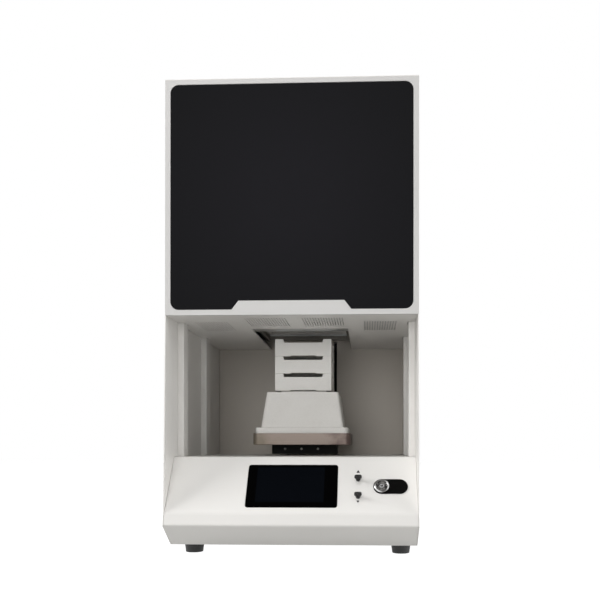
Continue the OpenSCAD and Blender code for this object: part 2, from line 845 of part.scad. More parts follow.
// Lift
// A notch from a level edge, with sides that lean in: downwards where h is negative
module edge_notch(w, h) {
    lean = 1.5;
    polygon([
        [-w / 2, -sign(h) * eps], [-w / 2 + lean, h], [w / 2 - lean, h], [w / 2, -sign(h) * eps],
    ]);
}
module tray(k) {
    low = tray_z + k * tray_pitch;
    color("#dcdbd6") difference() {
        lift_block(tray_w, low, low + tray_h);
        lift_block(tray_w - 2 * tray_wall, low + tray_floor, low + tray_h + 1);
        for (a = [0, 90]) translate([0, fy(lift_d), low + tray_h]) rotate([0, 0, a]) rotate([90, 0, 0])
            translate([0, 0, -tray_w]) linear_extrude(2 * tray_w) {
                edge_notch(rim_notch_w, -rim_notch_h);
                translate([0, -tray_h]) edge_notch(foot_arch_w, foot_arch_h);
            }
    }
}
module tray_lower() {
    tray(0);
}
module tray_middle() {
    tray(1);
}
module tray_upper() {
    tray(2);
}
module hearth_tile() {
    color("#cfcdc6") lift_block(tile_w, tile_z, tile_z + tile_t);
}
module hearth_plug() {
    color("#dddbd5") hull() for (level = [[plug_z, plug_low_w], [tile_z - eps, plug_top_w]]) {
        half = level[1] / 2 - plug_r;
        for (x = [-half, half], y = [-half, half]) translate([x, fy(lift_d) + y, level[0]])
            cylinder(r = plug_r, h = eps, $fn = hull_fn);
    }
}
module plug_base() {
    color("#e3e1db") translate([0, fy(lift_d), pan_z + sheet]) linear_extrude(plug_z - pan_z - sheet)
        rounded(base_w, base_w, pan_r - sheet - 2);
}
module plug_pan() {
    color("#9c8e80") translate([0, fy(lift_d), pan_z]) difference() {
        linear_extrude(pan_h) rounded(pan_w, pan_w, pan_r);
        translate([0, 0, sheet]) linear_extrude(pan_h)
            rounded(pan_w - 2 * sheet, pan_w - 2 * sheet, pan_r - sheet);
    }
}
member_d = lift_d - member_l / 2;
member_screw_pitch = 29;
member_screw_x = -5.5;
member_screw_drop = 7;
member_head_r = 2.2;
member_head_h = 1.8;
// Puts its child at each of the cross-member's screws, with local Z along the depth
module member_screws() {
    for (k = [-1:1])
        translate([member_screw_x + k * member_screw_pitch, fy(member_d), pan_z - member_screw_drop])
        rotate([-90, 0, 0]) children();
}
module cross_member() {
    color("#151615") difference() {
        block(-member_w / 2, member_w / 2, member_d, member_d + member_l, member_z, pan_z);
        member_screws() translate([0, 0, -1]) cylinder(r = shank_r + fit_gap, h = shank_l + 3);
    }
}
module cross_member_screws() {
    color("silver") member_screws() {
        translate([0, 0, -member_head_h]) cylinder(r = member_head_r, h = member_head_h);
        translate([0, 0, -eps]) cylinder(r = shank_r, h = shank_l);
    }
}
module lift_arms() {
    member_rear_d = member_d + member_l;
    carriage_d = drive_d - carriage_l / 2;
    color("#2a2a2a") both_sides() across(arm_x - arm_t / 2, arm_x + arm_t / 2) polygon([
        [member_rear_d, member_z], [arm_drop_d, member_z], [arm_drop_d, carriage_z + arm_step],
        [carriage_d, carriage_z + arm_step], [carriage_d, pan_z], [member_rear_d, pan_z],
    ]);
}
nut_r = 9;
nut_rise = 10;
nut_rim = 7;
nut_rim_h = 4;
module lift_carriage() {
    color("#8c9094") difference() {
        block(-carriage_w / 2, carriage_w / 2, drive_d - carriage_l / 2, drive_d + carriage_l / 2,
            carriage_z, carriage_z + carriage_h);
        for (x = [-rod_x, rod_x]) translate([x, fy(drive_d), carriage_z - 1])
            cylinder(r = bearing_r + run_gap, h = carriage_h + 2);
        translate([0, fy(drive_d), carriage_z - 1]) cylinder(r = nut_r + run_gap, h = carriage_h + 2);
    }
}
module linear_bearings() {
    color("silver") for (x = [-rod_x, rod_x]) translate([x, fy(drive_d), carriage_z]) difference() {
        cylinder(r = bearing_r, h = carriage_h);
        translate([0, 0, -1]) cylinder(r = rod_r + run_gap, h = carriage_h + 2);
    }
}
module lead_nut() {
    color("#b8964a") translate([0, fy(drive_d), carriage_z + nut_rise]) difference() {
        union() {
            cylinder(r = nut_r, h = carriage_h - nut_rise + eps);
            translate([0, 0, carriage_h - nut_rise]) cylinder(r = nut_r + nut_rim, h = nut_rim_h);
        }
        translate([0, 0, -1]) cylinder(r = screw_r + run_gap, h = carriage_h + 2);
    }
}

// Lift drive
module guide_rods() {
    color("silver") for (x = [-rod_x, rod_x]) translate([x, fy(drive_d), bracket_low_z])
        cylinder(r = rod_r, h = bracket_top_z + bracket_t - bracket_low_z);
}
module bracket(z, bore) {
    difference() {
        block(-bracket_w / 2, bracket_w / 2, back_wall_d + sheet, drive_d + motor_w / 2, z, z + bracket_t);
        for (x = [-rod_x, rod_x]) translate([x, fy(drive_d), z - 1])
            cylinder(r = rod_r + run_gap, h = bracket_t + 2);
        translate([0, fy(drive_d), z - 1]) cylinder(r = bore, h = bracket_t + 2);
    }
}
module drive_brackets() {
    color("#707478") {
        bracket(bracket_low_z, coupling_r + 2);
        bracket(bracket_top_z, screw_r + run_gap);
    }
}
module lift_motor() {
    color("#26272a") difference() {
        block(-motor_w / 2, motor_w / 2, drive_d - motor_w / 2, drive_d + motor_w / 2,
            bracket_low_z - motor_h, bracket_low_z);
        translate([0, fy(drive_d), bracket_low_z - shaft_l]) cylinder(r = shaft_r + run_gap, h = shaft_l + 1);
    }
}
module lead_screw() {
    color("silver") translate([0, fy(drive_d), screw_low_z])
        cylinder(r = screw_r, h = bracket_top_z + bracket_t - screw_low_z);
}
module screw_coupling() {
    coupling_z = screw_low_z - coupling_h / 2;
    shaft_z = bracket_low_z - shaft_l + 1;
    color("#a9adb2") translate([0, fy(drive_d), 0]) {
        translate([0, 0, coupling_z]) difference() {
            cylinder(r = coupling_r, h = coupling_h);
            translate([0, 0, coupling_h / 2]) cylinder(r = screw_r + run_gap, h = coupling_h);
        }
        translate([0, 0, shaft_z]) cylinder(r = shaft_r, h = coupling_z - shaft_z + eps);
    }
}

// Rear fan, its rotor turns about an axis along the depth
fan_corner_r = 6;
hub_r = 20;
pin_r = 2;
// Room in front of the pin, and the thickness and width of the spokes that carry it
pin_room = 6;
spoke_t = 3;
spoke_w = 4;
blade_count = 7;
blade_t = 1.6;
blade_tilt = 40;
blade_gap = 2;
rotor_gap = 1;
rotor_l = fan_l - spoke_t - 2 * rotor_gap - 1;
rotor_front = 4;
module about_fan(d) {
    translate([0, fy(d), fan_z]) rotate([-90, 0, 0]) children();
}
module rear_fan() {
    front_d = rear_in_d - fan_l;
    color("#1c1c1e") about_fan(front_d) {
        difference() {
            linear_extrude(fan_l) rounded(fan_w, fan_w, fan_corner_r);
            translate([0, 0, -1]) cylinder(r = fan_w / 2 - fan_wall, h = fan_l + 2);
        }
        translate([0, 0, fan_l - spoke_t]) {
            cylinder(r = hub_r, h = spoke_t);
            for (a = [45:90:315]) rotate([0, 0, a]) translate([hub_r - 2, -spoke_w / 2, 0])
                cube([fan_w / 2 - hub_r + 1, spoke_w, spoke_t]);
        }
        translate([0, 0, pin_room]) cylinder(r = pin_r, h = fan_l - pin_room);
    }
}
module fan_rotor() {
    blade_l = fan_w / 2 - hub_r + 2 * spoke_w;
    color("#2b2b2d") about_fan(rear_in_d - fan_l + rotor_gap) difference() {
        union() {
            cylinder(r = hub_r, h = rotor_l);
            intersection() {
                cylinder(r = fan_w / 2 - fan_wall - blade_gap, h = rotor_l);
                for (k = [0:blade_count - 1]) rotate([0, 0, k * 360 / blade_count])
                    translate([hub_r + blade_l / 2 - spoke_w, 0, rotor_l / 2]) rotate([blade_tilt, 0, 0])
                    cube([blade_l, blade_t, 2 * rotor_l], center = true);
            }
        }
        translate([0, 0, rotor_front]) cylinder(r = pin_r + run_gap, h = rotor_l);
    }
}
// The guard: rings on two crossed wires, with an eye at each end
guard_rings = 4;
guard_in = 3;
eye_out = 12;
eye_r = 5;
eye_hole_r = 2.2;
module fan_guard() {
    ring_z = guard_proud - guard_wire_r;
    wire_z = 1.4 * guard_wire_r;
    eye_x = fan_w / 2 + eye_out;
    color("silver") about_fan(rear_d) {
        for (k = [1:guard_rings]) translate([0, 0, ring_z]) rotate_extrude()
            translate([k * (fan_w / 2 - guard_in) / guard_rings, 0]) circle(guard_wire_r, $fn = 16);
        for (a = [45, 135]) rotate([0, 0, a]) translate([eye_r - eye_x - 1, 0, wire_z])
            rotate([0, 90, 0]) cylinder(r = guard_wire_r, h = 2 * (eye_x - eye_r + 1), $fn = 16);
        for (a = [45:90:315]) rotate([0, 0, a]) translate([eye_x, 0, 0]) difference() {
            cylinder(r = eye_r, h = 2 * guard_wire_r);
            translate([0, 0, -1]) cylinder(r = eye_hole_r, h = 2 * guard_wire_r + 2);
        }
    }
}
socket_depth = 20;
pin_t = 2;
pin_w = 6;
pin_l = 14;
pin_x = 7;
pin_places = [[-pin_x, 2], [pin_x, 2], [0, -4]];
module mains_inlet() {
    pin_z = inlet_flange_t - socket_depth + pin_l / 2 - eps;
    color("#161616") translate([-inlet_x, fy(rear_d), inlet_z]) rotate([-90, 0, 0]) {
        difference() {
            union() {
                linear_extrude(inlet_flange_t) rounded(inlet_w, inlet_h, 4);
                translate([0, 0, -inlet_body_l]) linear_extrude(inlet_body_l + eps)
                    square([inlet_body_w, inlet_body_h], center = true);
            }
            translate([0, 0, inlet_flange_t - socket_depth]) linear_extrude(socket_depth + 1)
                rounded(inlet_body_w - 2 * inlet_wall, inlet_body_h - 2 * inlet_wall, inlet_wall);
        }
        for (p = pin_places) translate([p[0], p[1], pin_z]) cube([pin_t, pin_w, pin_l], center = true);
    }
}

// Electrics in the base, each set in from the side panel beside it
transformer_in = 33;
transformer_w = 100;
transformer_d = 130;
transformer_l = 80;
core_t = 22;
window_h = 56;
coil_over = 10;
coil_side = 6;
coil_gap = 5;
module transformer() {
    x0 = transformer_in - inner_x;
    x1 = x0 + transformer_w;
    d1 = transformer_d + transformer_l;
    yoke_z = base_top + core_t + window_h;
    color("#5b4a3a") {
        block(x0, x1, transformer_d, d1, base_top, base_top + core_t);
        block(x0, x1, transformer_d, d1, yoke_z, yoke_z + core_t);
        for (x = [x0, x1 - core_t])
            block(x, x + core_t, transformer_d, d1, base_top + core_t - eps, yoke_z + eps);
    }
    color("#b5651d") for (x = [x0, x1 - core_t]) block(x - coil_side, x + core_t + coil_side,
        transformer_d - coil_over, d1 + coil_over, base_top + core_t + coil_gap, yoke_z - coil_gap);
}
electrics_in = 38;
electrics_w = 100;
supply_d = 50;
supply_l = 140;
supply_h = 42;
supply_slot_in = 10;
supply_slot_pitch = 8;
supply_slot_w = 4;
supply_slot_l = 65;
supply_slot_h = 2;
module power_supply() {
    x0 = inner_x - electrics_in - electrics_w;
    top = base_top + supply_h;
    count = floor((electrics_w - 2 * supply_slot_in) / supply_slot_pitch);
    color("silver") difference() {
        block(x0, x0 + electrics_w, supply_d, supply_d + supply_l, base_top, top);
        for (k = [0:count - 1]) translate([x0 + supply_slot_in + supply_slot_pitch * k, 0, 0])
            block(0, supply_slot_w, supply_d + supply_slot_in, supply_d + supply_slot_in + supply_slot_l,
                top - supply_slot_h, top + 1);
    }
}
controller_wall_gap = 30;
controller_l = 100;
heatsink_base = 10;
heatsink_h = 45;
fin_count = 11;
fin_t = 2.5;
switch_module_in = 15;
switch_module_h = 30;
module power_controller() {
    x0 = inner_x - electrics_in - electrics_w;
    d1 = back_wall_d - controller_wall_gap;
    d0 = d1 - controller_l;
    top = base_top + heatsink_h;
    color("#7d8286") block(x0, x0 + electrics_w, d0, d1, base_top, base_top + heatsink_base);
    color("#7d8286") for (k = [0:fin_count - 1])
        translate([x0 + k * (electrics_w - fin_t) / (fin_count - 1), 0, 0])
        block(0, fin_t, d0, d1, base_top + heatsink_base - eps, top);
    color("#222222") block(x0 + switch_module_in, x0 + electrics_w - switch_module_in,
        d0 + switch_module_in, d1 - switch_module_in, top - 1, top + switch_module_h);
}

side_panel_left();
side_panel_right();
top_cover();
rear_cover();
front_fascia();
glass_panel();
soffit_plate();
bay_back_wall();
bay_floor();
console_cover();
bottom_pan();
feet();
front_posts();
middle_posts();
casing_screws();
screen_glass();
display_module();
control_board();
switch_bodies();
up_button();
down_button();
power_plate();
power_switch_body();
power_button();
furnace_platform();
mouth_guard();
mouth_seal();
furnace_shell();
insulation_floor();
insulation_walls();
insulation_roof();
heating_elements();
element_holders();
element_straps();
thermocouple();
tray_lower();
tray_middle();
tray_upper();
hearth_tile();
hearth_plug();
plug_base();
plug_pan();
cross_member();
cross_member_screws();
lift_arms();
lift_carriage();
linear_bearings();
lead_nut();
guide_rods();
drive_brackets();
lift_motor();
lead_screw();
screw_coupling();
rear_fan();
fan_rotor();
fan_guard();
mains_inlet();
transformer();
power_supply();
power_controller();
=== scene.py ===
import json
import math
import bmesh
import bpy
from mathutils import Matrix, Vector


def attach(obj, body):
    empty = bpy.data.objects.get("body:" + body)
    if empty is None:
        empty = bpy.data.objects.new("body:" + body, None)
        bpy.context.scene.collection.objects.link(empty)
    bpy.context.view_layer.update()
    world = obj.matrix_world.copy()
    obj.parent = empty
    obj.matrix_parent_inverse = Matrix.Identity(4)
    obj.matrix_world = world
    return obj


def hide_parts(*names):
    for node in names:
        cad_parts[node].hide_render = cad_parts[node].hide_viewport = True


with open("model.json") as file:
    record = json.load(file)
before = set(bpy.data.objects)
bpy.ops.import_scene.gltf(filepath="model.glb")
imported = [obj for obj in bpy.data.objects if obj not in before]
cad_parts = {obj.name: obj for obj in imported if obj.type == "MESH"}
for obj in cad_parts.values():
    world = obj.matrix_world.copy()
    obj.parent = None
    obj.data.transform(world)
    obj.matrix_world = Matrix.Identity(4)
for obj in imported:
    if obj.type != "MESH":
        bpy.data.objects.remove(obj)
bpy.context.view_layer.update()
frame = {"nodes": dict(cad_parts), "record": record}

MM = 0.001
nodes = frame["nodes"]
scene = bpy.context.scene
scene.view_settings.view_transform = "Standard"


# places
def extent(node, frame_of=Matrix()):
    """The lowest and highest corner of a CAD node in millimetres, in a frame of its own if one is given."""
    back = frame_of.inverted()
    local = [back @ (nodes[node].matrix_world @ v.co) for v in nodes[node].data.vertices]
    return [tuple(pick(p[axis] for p in local) / MM for axis in range(3)) for pick in (min, max)]


FRONT = extent("front_fascia")[0][1] * MM


def at(x, d, z):
    """A place from its x, its depth behind the front plane and its height, all in millimetres."""
    return Vector((x * MM, FRONT + d * MM, z * MM))


def scaled(place):
    """A frame in metres as one that takes millimetres."""
    return place @ Matrix.Scale(MM, 4)


# The console cover's folds, as depths and heights in millimetres, and its sheet
NOSE, BROW, CREST = (-13.0, 52.0), (-8.8, 69.6), (44.7, 150.7)
SHEET = 1.5
# The lit part of the touch screen: how far it lies across and down the slope, and its size in metres
DISPLAY_SPOT = (-3.0, 48.5)
DISPLAY_SIZE = (0.101, 0.060)


def on_panel(x, down):
    """The console slope's frame at a place in millimetres: x across, y up the slope, z outwards."""
    slope = math.atan2(CREST[1] - BROW[1], CREST[0] - BROW[0])
    lean, rise = math.cos(slope), math.sin(slope)
    turn = Matrix(((1, 0, 0), (0, lean, -rise), (0, rise, lean))).to_4x4()
    return scaled(Matrix.Translation(at(x, CREST[0] - lean * down, CREST[1] - rise * down)) @ turn)


def panel_spot(node):
    """The slope's frame at the middle of a part there, and the part's width, length, foot and top."""
    low, high = extent(node, on_panel(0, 0) @ Matrix.Scale(1 / MM, 4))
    spot = on_panel((low[0] + high[0]) / 2, -(low[1] + high[1]) / 2)
    return spot, high[0] - low[0], high[1] - low[1], low[2], high[2]


# nodes of every kind of tree
def grow(tree, kind, wires=None, **settings):
    """Adds a node, sets its properties, and gives its inputs values or wires by name or number."""
    node = tree.nodes.new(kind)
    for key, value in settings.items():
        setattr(node, key, value)
    for key, value in (wires or {}).items():
        if isinstance(value, bpy.types.NodeSocket):
            tree.links.new(value, node.inputs[key])
        elif node.inputs[key].type == "RGBA":
            node.inputs[key].default_value = (*value, 1)
        else:
            node.inputs[key].default_value = value
    return node


def put(tree, kind, wires=None, **settings):
    return grow(tree, "ShaderNode" + kind, wires, **settings)


# what a group's sockets carry where it isn't a number
CARRIED = {"Place": "Vector", "Stretch": "Vector", "Colour": "Color", "Stain": "Color",
           "Geometry": "Geometry", "Material": "Material"}


def group(kind, name, outputs, *inputs):
    """A node tree with named sockets, the sockets that bring its inputs and those that take its results."""
    tree = bpy.data.node_groups.new(name, kind + "NodeTree")
    for way, labels in (("INPUT", inputs), ("OUTPUT", outputs)):
        for label in labels:
            carried = "NodeSocket" + CARRIED.get(label, "Float")
            tree.interface.new_socket(label, in_out=way, socket_type=carried)
    return tree, tree.nodes.new("NodeGroupInput").outputs, tree.nodes.new("NodeGroupOutput").inputs


def give(tree, out, *results):
    """Wires a group's results to its output sockets, in their order."""
    for socket, result in zip(out, results):
        tree.links.new(result, socket)
    return tree


def sums(tree, operation, a, b=0.0, clamp=False):
    return put(tree, "Math", {0: a, 1: b}, operation=operation, use_clamp=clamp).outputs[0]


def times(tree, a, b):
    return sums(tree, "MULTIPLY", a, b)


def between(tree, value, low, high, to_low=0.0, to_high=1.0):
    ends = {"From Min": low, "From Max": high, "To Min": to_low, "To Max": to_high}
    return put(tree, "MapRange", {"Value": value, **ends}, clamp=True).outputs["Result"]


def blend(tree, factor, a, b):
    return put(tree, "Mix", {0: factor, 6: a, 7: b}, data_type="RGBA", blend_type="MIX").outputs[2]


def noise(tree, place, scale, detail=2.0, roughness=0.5, distortion=0.0):
    values = {"Scale": scale, "Detail": detail, "Roughness": roughness, "Distortion": distortion}
    return put(tree, "TexNoise", {"Vector": place, **values}).outputs[0]


def cells(tree, place, scale):
    """The distance to the nearest of many scattered points."""
    return put(tree, "TexVoronoi", {"Vector": place, "Scale": scale}, feature="F1").outputs["Distance"]


# camera, light and floor
def aimed_camera():
    """The photo's camera: its place, its angles and, in pixels, its focal length and its picture's width."""
    place = Vector((0.1115, -1.2446, 0.1670))
    yaw, pitch, roll = -0.0375, 0.0014, 0.0006
    focal, picture = 705.1, 600.0
    ahead = Vector((math.sin(yaw) * math.cos(pitch), math.cos(yaw) * math.cos(pitch), math.sin(pitch)))
    level = Vector((math.cos(yaw), -math.sin(yaw), 0.0))
    above = level.cross(ahead)
    right = math.cos(roll) * level + math.sin(roll) * above
    up = -math.sin(roll) * level + math.cos(roll) * above
    data = bpy.data.cameras.new("camera")
    data.sensor_width = 36.0
    data.lens = data.sensor_width * focal / picture
    data.shift_x = -0.0692
    data.shift_y = 0.2417
    camera = bpy.data.objects.new("camera", data)
    turn = Matrix((right, up, -ahead)).transposed().to_4x4()
    camera.matrix_world = Matrix.Translation(place) @ turn
    scene.collection.objects.link(camera)
    scene.camera = camera


def soft_lamp(name, azimuth, elevation, distance, size, power, mirrored=True):
    """An area lamp on a sphere round the furnace's middle; azimuth 0 is in front, positive to the right.
    One that is not mirrored lights the furnace but leaves no image of itself on glossy faces."""
    middle = Vector((0, 0, 0.3))
    a, e = math.radians(azimuth), math.radians(elevation)
    way = Vector((math.sin(a) * math.cos(e), -math.cos(a) * math.cos(e), math.sin(e)))
    data = bpy.data.lights.new(name, "AREA")
    data.shape = "DISK"
    data.size = size
    data.energy = power
    lamp = bpy.data.objects.new(name, data)
    lamp.visible_glossy = mirrored
    lamp.location = middle + way * distance
    lamp.rotation_mode = "QUATERNION"
    lamp.rotation_quaternion = (-way).to_track_quat("-Z", "Y")
    scene.collection.objects.link(lamp)


def plain_or_white(tree, plain, white, output):
    """Ends a tree: its plain shader lights the scene, and its white one meets the camera's rays, glossy
    rays and those through glass."""
    path = put(tree, "LightPath").outputs
    seen = sums(tree, "MAXIMUM", path["Is Camera Ray"], path["Is Glossy Ray"])
    seen = sums(tree, "MAXIMUM", seen, path["Is Transmission Ray"])
    mix = put(tree, "MixShader", {0: seen, 1: plain.outputs[0], 2: white.outputs[0]})
    put(tree, output, {0: mix.outputs[0]})


def pale_world():
    world = bpy.data.worlds.new("pale_room")
    world.use_nodes = True
    scene.world = world
    tree = world.node_tree
    tree.nodes.clear()
    room = put(tree, "Background", {"Color": (1.0, 0.995, 0.985), "Strength": 0.22})
    white = put(tree, "Background", {"Color": (1, 1, 1), "Strength": 1.0})
    plain_or_white(tree, room, white, "OutputWorld")


def pale_floor():
    size = 6.0
    mesh = bpy.data.meshes.new("floor")
    corners = [(-size, -size, 0), (size, -size, 0), (size, size, 0), (-size, size, 0)]
    mesh.from_pydata(corners, [], [(0, 1, 2, 3)])
    floor = bpy.data.objects.new("floor", mesh)
    scene.collection.objects.link(floor)
    paint = bpy.data.materials.new("floor_white")
    paint.use_nodes = True
    tree = paint.node_tree
    tree.nodes.clear()
    plain = put(tree, "BsdfDiffuse", {"Color": (0.5, 0.5, 0.49)})
    shadow = put(tree, "BsdfDiffuse", {"Color": (0.24, 0.24, 0.24)})
    glow = put(tree, "Emission", {"Color": (1, 1, 1), "Strength": 0.94})
    white = put(tree, "AddShader", {0: shadow.outputs[0], 1: glow.outputs[0]})
    plain_or_white(tree, plain, white, "OutputMaterial")
    mesh.materials.append(paint)


aimed_camera()
pale_world()
pale_floor()
soft_lamp("window_left", -75, 22, 4.0, 1.9, 113)
soft_lamp("window_right", 80, 8, 4.0, 1.9, 82)
soft_lamp("ceiling", -14, 60, 2.0, 1.2, 9, mirrored=False)
soft_lamp("front_room", -7, 3, 3.0, 1.7, 31, mirrored=False)
soft_lamp("room_behind", 150, 32, 3.0, 1.8, 26, mirrored=False)


# shared effects
SURFACE = ("Colour", "Roughness", "Height")


def powder_coat_effect():
    """Orange peel, faint specks and a slow change of tone of a baked powder coat."""
    tree, into, out = group("Shader", "powder_coat", SURFACE,
                            "Place", "Colour", "Roughness", "Grain", "Drift", "Specks")
    peel = noise(tree, into["Place"], into["Grain"], 3.0, 0.45)
    slow = noise(tree, into["Place"], 7.0)
    speck = times(tree, between(tree, cells(tree, into["Place"], 900.0), 0.10, 0.02), into["Specks"])
    tone = times(tree, between(tree, slow, 0.35, 0.65), into["Drift"])
    darker = blend(tree, tone, into["Colour"], (0.32, 0.31, 0.28))
    colour = blend(tree, speck, darker, (0.18, 0.17, 0.16))
    rough = sums(tree, "ADD", into["Roughness"], between(tree, peel, 0.3, 0.7, -0.05, 0.06))
    return give(tree, out, colour, rough, peel)


def edge_wear_effect():
    """A mask along the sharp edges, broken up by noise, from the bevelled and the plain normal."""
    tree, into, out = group("Shader", "edge_wear", ["Mask"], "Place", "Reach", "Amount", "Grain")
    rounded = put(tree, "Bevel", {"Radius": into["Reach"]}, samples=4).outputs[0]
    plain = put(tree, "NewGeometry").outputs["Normal"]
    match = put(tree, "VectorMath", {0: rounded, 1: plain}, operation="DOT_PRODUCT").outputs["Value"]
    broken = between(tree, noise(tree, into["Place"], into["Grain"], 4.0, 0.65), 0.42, 0.62)
    edge = times(tree, between(tree, match, 0.995, 0.86), broken)
    return give(tree, out, times(tree, edge, into["Amount"]))


def fibre_effect():
    """Pressed refractory fibre: short felted strands, soft mottling and faint pits."""
    tree, into, out = group("Shader", "fibre_board", ["Colour", "Height"],
                            "Place", "Colour", "Stain", "Stained", "Strands")
    felt = noise(tree, into["Place"], into["Strands"], 6.0, 0.7, 1.6)
    mottle = noise(tree, into["Place"], 22.0, 4.0, 0.6)
    pit = between(tree, cells(tree, into["Place"], 190.0), 0.20, 0.06)
    stain = times(tree, between(tree, mottle, 0.45, 0.75), into["Stained"])
    base = blend(tree, stain, into["Colour"], into["Stain"])
    strand = blend(tree, between(tree, felt, 0.3, 0.7, 0.0, 0.09), base, (0.42, 0.40, 0.36))
    colour = blend(tree, times(tree, pit, 0.05), strand, (0.3, 0.28, 0.25))
    return give(tree, out, colour, sums(tree, "SUBTRACT", felt, times(tree, pit, 0.15)))


def brushed_effect():
    """Fine parallel marks of brushed or ground metal, along a chosen direction."""
    tree, into, out = group("Shader", "brushed_metal", SURFACE,
                            "Place", "Stretch", "Colour", "Roughness", "Spread")
    along = put(tree, "VectorMath", {0: into["Place"], 1: into["Stretch"]}, operation="MULTIPLY").outputs[0]
    marks = noise(tree, along, 1.0, 3.0, 0.6)
    cloud = noise(tree, into["Place"], 30.0, 3.0)
    swing = times(tree, sums(tree, "SUBTRACT", marks, 0.5), times(tree, into["Spread"], 2.0))
    drift = times(tree, sums(tree, "SUBTRACT", cloud, 0.5), times(tree, into["Spread"], 0.5))
    rough = sums(tree, "ADD", sums(tree, "ADD", into["Roughness"], swing), drift)
    colour = blend(tree, between(tree, marks, 0.3, 0.75, 0.0, 0.22), into["Colour"], (0.12, 0.12, 0.12))
    return give(tree, out, colour, rough, marks)


def moulded_effect():
    """Fine spark-eroded grain of moulded plastic and rubber, with dust that has settled on it."""
    tree, into, out = group("Shader", "moulded_grain", SURFACE,
                            "Place", "Colour", "Roughness", "Grain", "Dust")
    grain = noise(tree, into["Place"], into["Grain"])
    dust = noise(tree, into["Place"], 85.0, 5.0, 0.7)
    settled = times(tree, between(tree, dust, 0.48, 0.72), into["Dust"])
    colour = blend(tree, settled, into["Colour"], (0.45, 0.43, 0.40))
    rough = sums(tree, "ADD", into["Roughness"], between(tree, dust, 0.3, 0.7, -0.06, 0.1))
    return give(tree, out, colour, rough, grain)


def window_effect():
    """A soft-edged rectangle in the XY plane of the place that it is given."""
    tree, into, out = group("Shader", "window_mask", ["Mask"], "Place", "Width", "Height", "Softness")
    parts = put(tree, "SeparateXYZ", {0: into["Place"]}).outputs
    sides = []
    for axis, size in (("X", "Width"), ("Y", "Height")):
        inside = sums(tree, "SUBTRACT", times(tree, into[size], 0.5), sums(tree, "ABSOLUTE", parts[axis]))
        sides.append(sums(tree, "DIVIDE", inside, into["Softness"], clamp=True))
    return give(tree, out, times(tree, *sides))


EFFECTS = {
    "coat": powder_coat_effect(), "wear": edge_wear_effect(), "fibre": fibre_effect(),
    "brushed": brushed_effect(), "moulded": moulded_effect(), "window": window_effect(),
}


# materials
MATERIALS = {}


def finish(name, roughness, metallic=0.0, specular=0.5):
    """A new material of plain values: its tree, its Principled shader and its object coordinates."""
    made = bpy.data.materials.new(name)
    made.use_nodes = True
    MATERIALS[name] = made
    tree = made.node_tree
    shader = tree.nodes["Principled BSDF"]
    shader.inputs["Roughness"].default_value = roughness
    shader.inputs["Metallic"].default_value = metallic
    shader.inputs["IOR"].default_value = 1.5
    shader.inputs["Specular IOR Level"].default_value = specular
    return tree, shader, put(tree, "TexCoord").outputs["Object"]


def use(tree, name, place, **values):
    """Adds a shared effect and returns its outputs."""
    return put(tree, "Group", {"Place": place, **values}, node_tree=EFFECTS[name]).outputs


def worn(tree, place, colour, amount, bare, reach=0.0012, grain=160.0):
    """A colour whose sharp edges are worn to another one, where there is any wear."""
    if not amount:
        return colour
    mask = use(tree, "wear", place, Amount=amount, Reach=reach, Grain=grain)["Mask"]
    return blend(tree, mask, colour, bare)


def dress(tree, shader, colour, roughness=None, height=None, depth=0.00002):
    """Wires a material's colour, and its roughness and its relief where it has them."""
    tree.links.new(colour, shader.inputs["Base Color"])
    if roughness is not None:
        tree.links.new(roughness, shader.inputs["Roughness"])
    if height is not None:
        bump = put(tree, "Bump", {"Height": height, "Distance": depth, "Strength": 1.0})
        tree.links.new(bump.outputs[0], shader.inputs["Normal"])


def seen_from(tree, place, spot):
    """Object coordinates as they are in a frame of the furnace, in metres."""
    settings = {"Location": spot.translation, "Rotation": spot.to_euler()}
    return put(tree, "Mapping", {"Vector": place, **settings}, vector_type="TEXTURE").outputs[0]


def coated(name, colour, roughness, drift=0.03, specks=0.15, grain=700.0, depth=0.00004, wear=0.0,
           bare=(0.45, 0.45, 0.45), specular=0.5):
    tree, shader, place = finish(name, roughness, specular=specular)
    coat = use(tree, "coat", place, Colour=colour, Roughness=roughness, Drift=drift, Specks=specks,
               Grain=grain)
    result = worn(tree, place, coat["Colour"], wear, bare)
    dress(tree, shader, result, coat["Roughness"], coat["Height"], depth)


def brushed(name, colour, roughness, stretch=(8.0, 700.0, 700.0), spread=0.16, wear=0.0):
    tree, shader, place = finish(name, roughness, metallic=1.0)
    marks = use(tree, "brushed", place, Colour=colour, Roughness=roughness, Stretch=stretch, Spread=spread)
    result = worn(tree, place, marks["Colour"], wear, (0.8, 0.8, 0.8))
    dress(tree, shader, result, marks["Roughness"], marks["Height"])


def moulded(name, colour, roughness, dust=0.06, grain=1400.0, depth=0.00003, specular=0.5):
    tree, shader, place = finish(name, roughness, specular=specular)
    skin = use(tree, "moulded", place, Colour=colour, Roughness=roughness, Dust=dust, Grain=grain)
    dress(tree, shader, skin["Colour"], skin["Roughness"], skin["Height"], depth)


def felted(name, colour, stain, stained, strands=260.0, depth=0.0003, chip=0.0):
    tree, shader, place = finish(name, 0.92, specular=0.2)
    board = use(tree, "fibre", place, Colour=colour, Stain=stain, Stained=stained, Strands=strands)
    result = worn(tree, place, board["Colour"], chip, (0.9, 0.89, 0.86), 0.002, 110.0)
    dress(tree, shader, result, height=board["Height"], depth=depth)


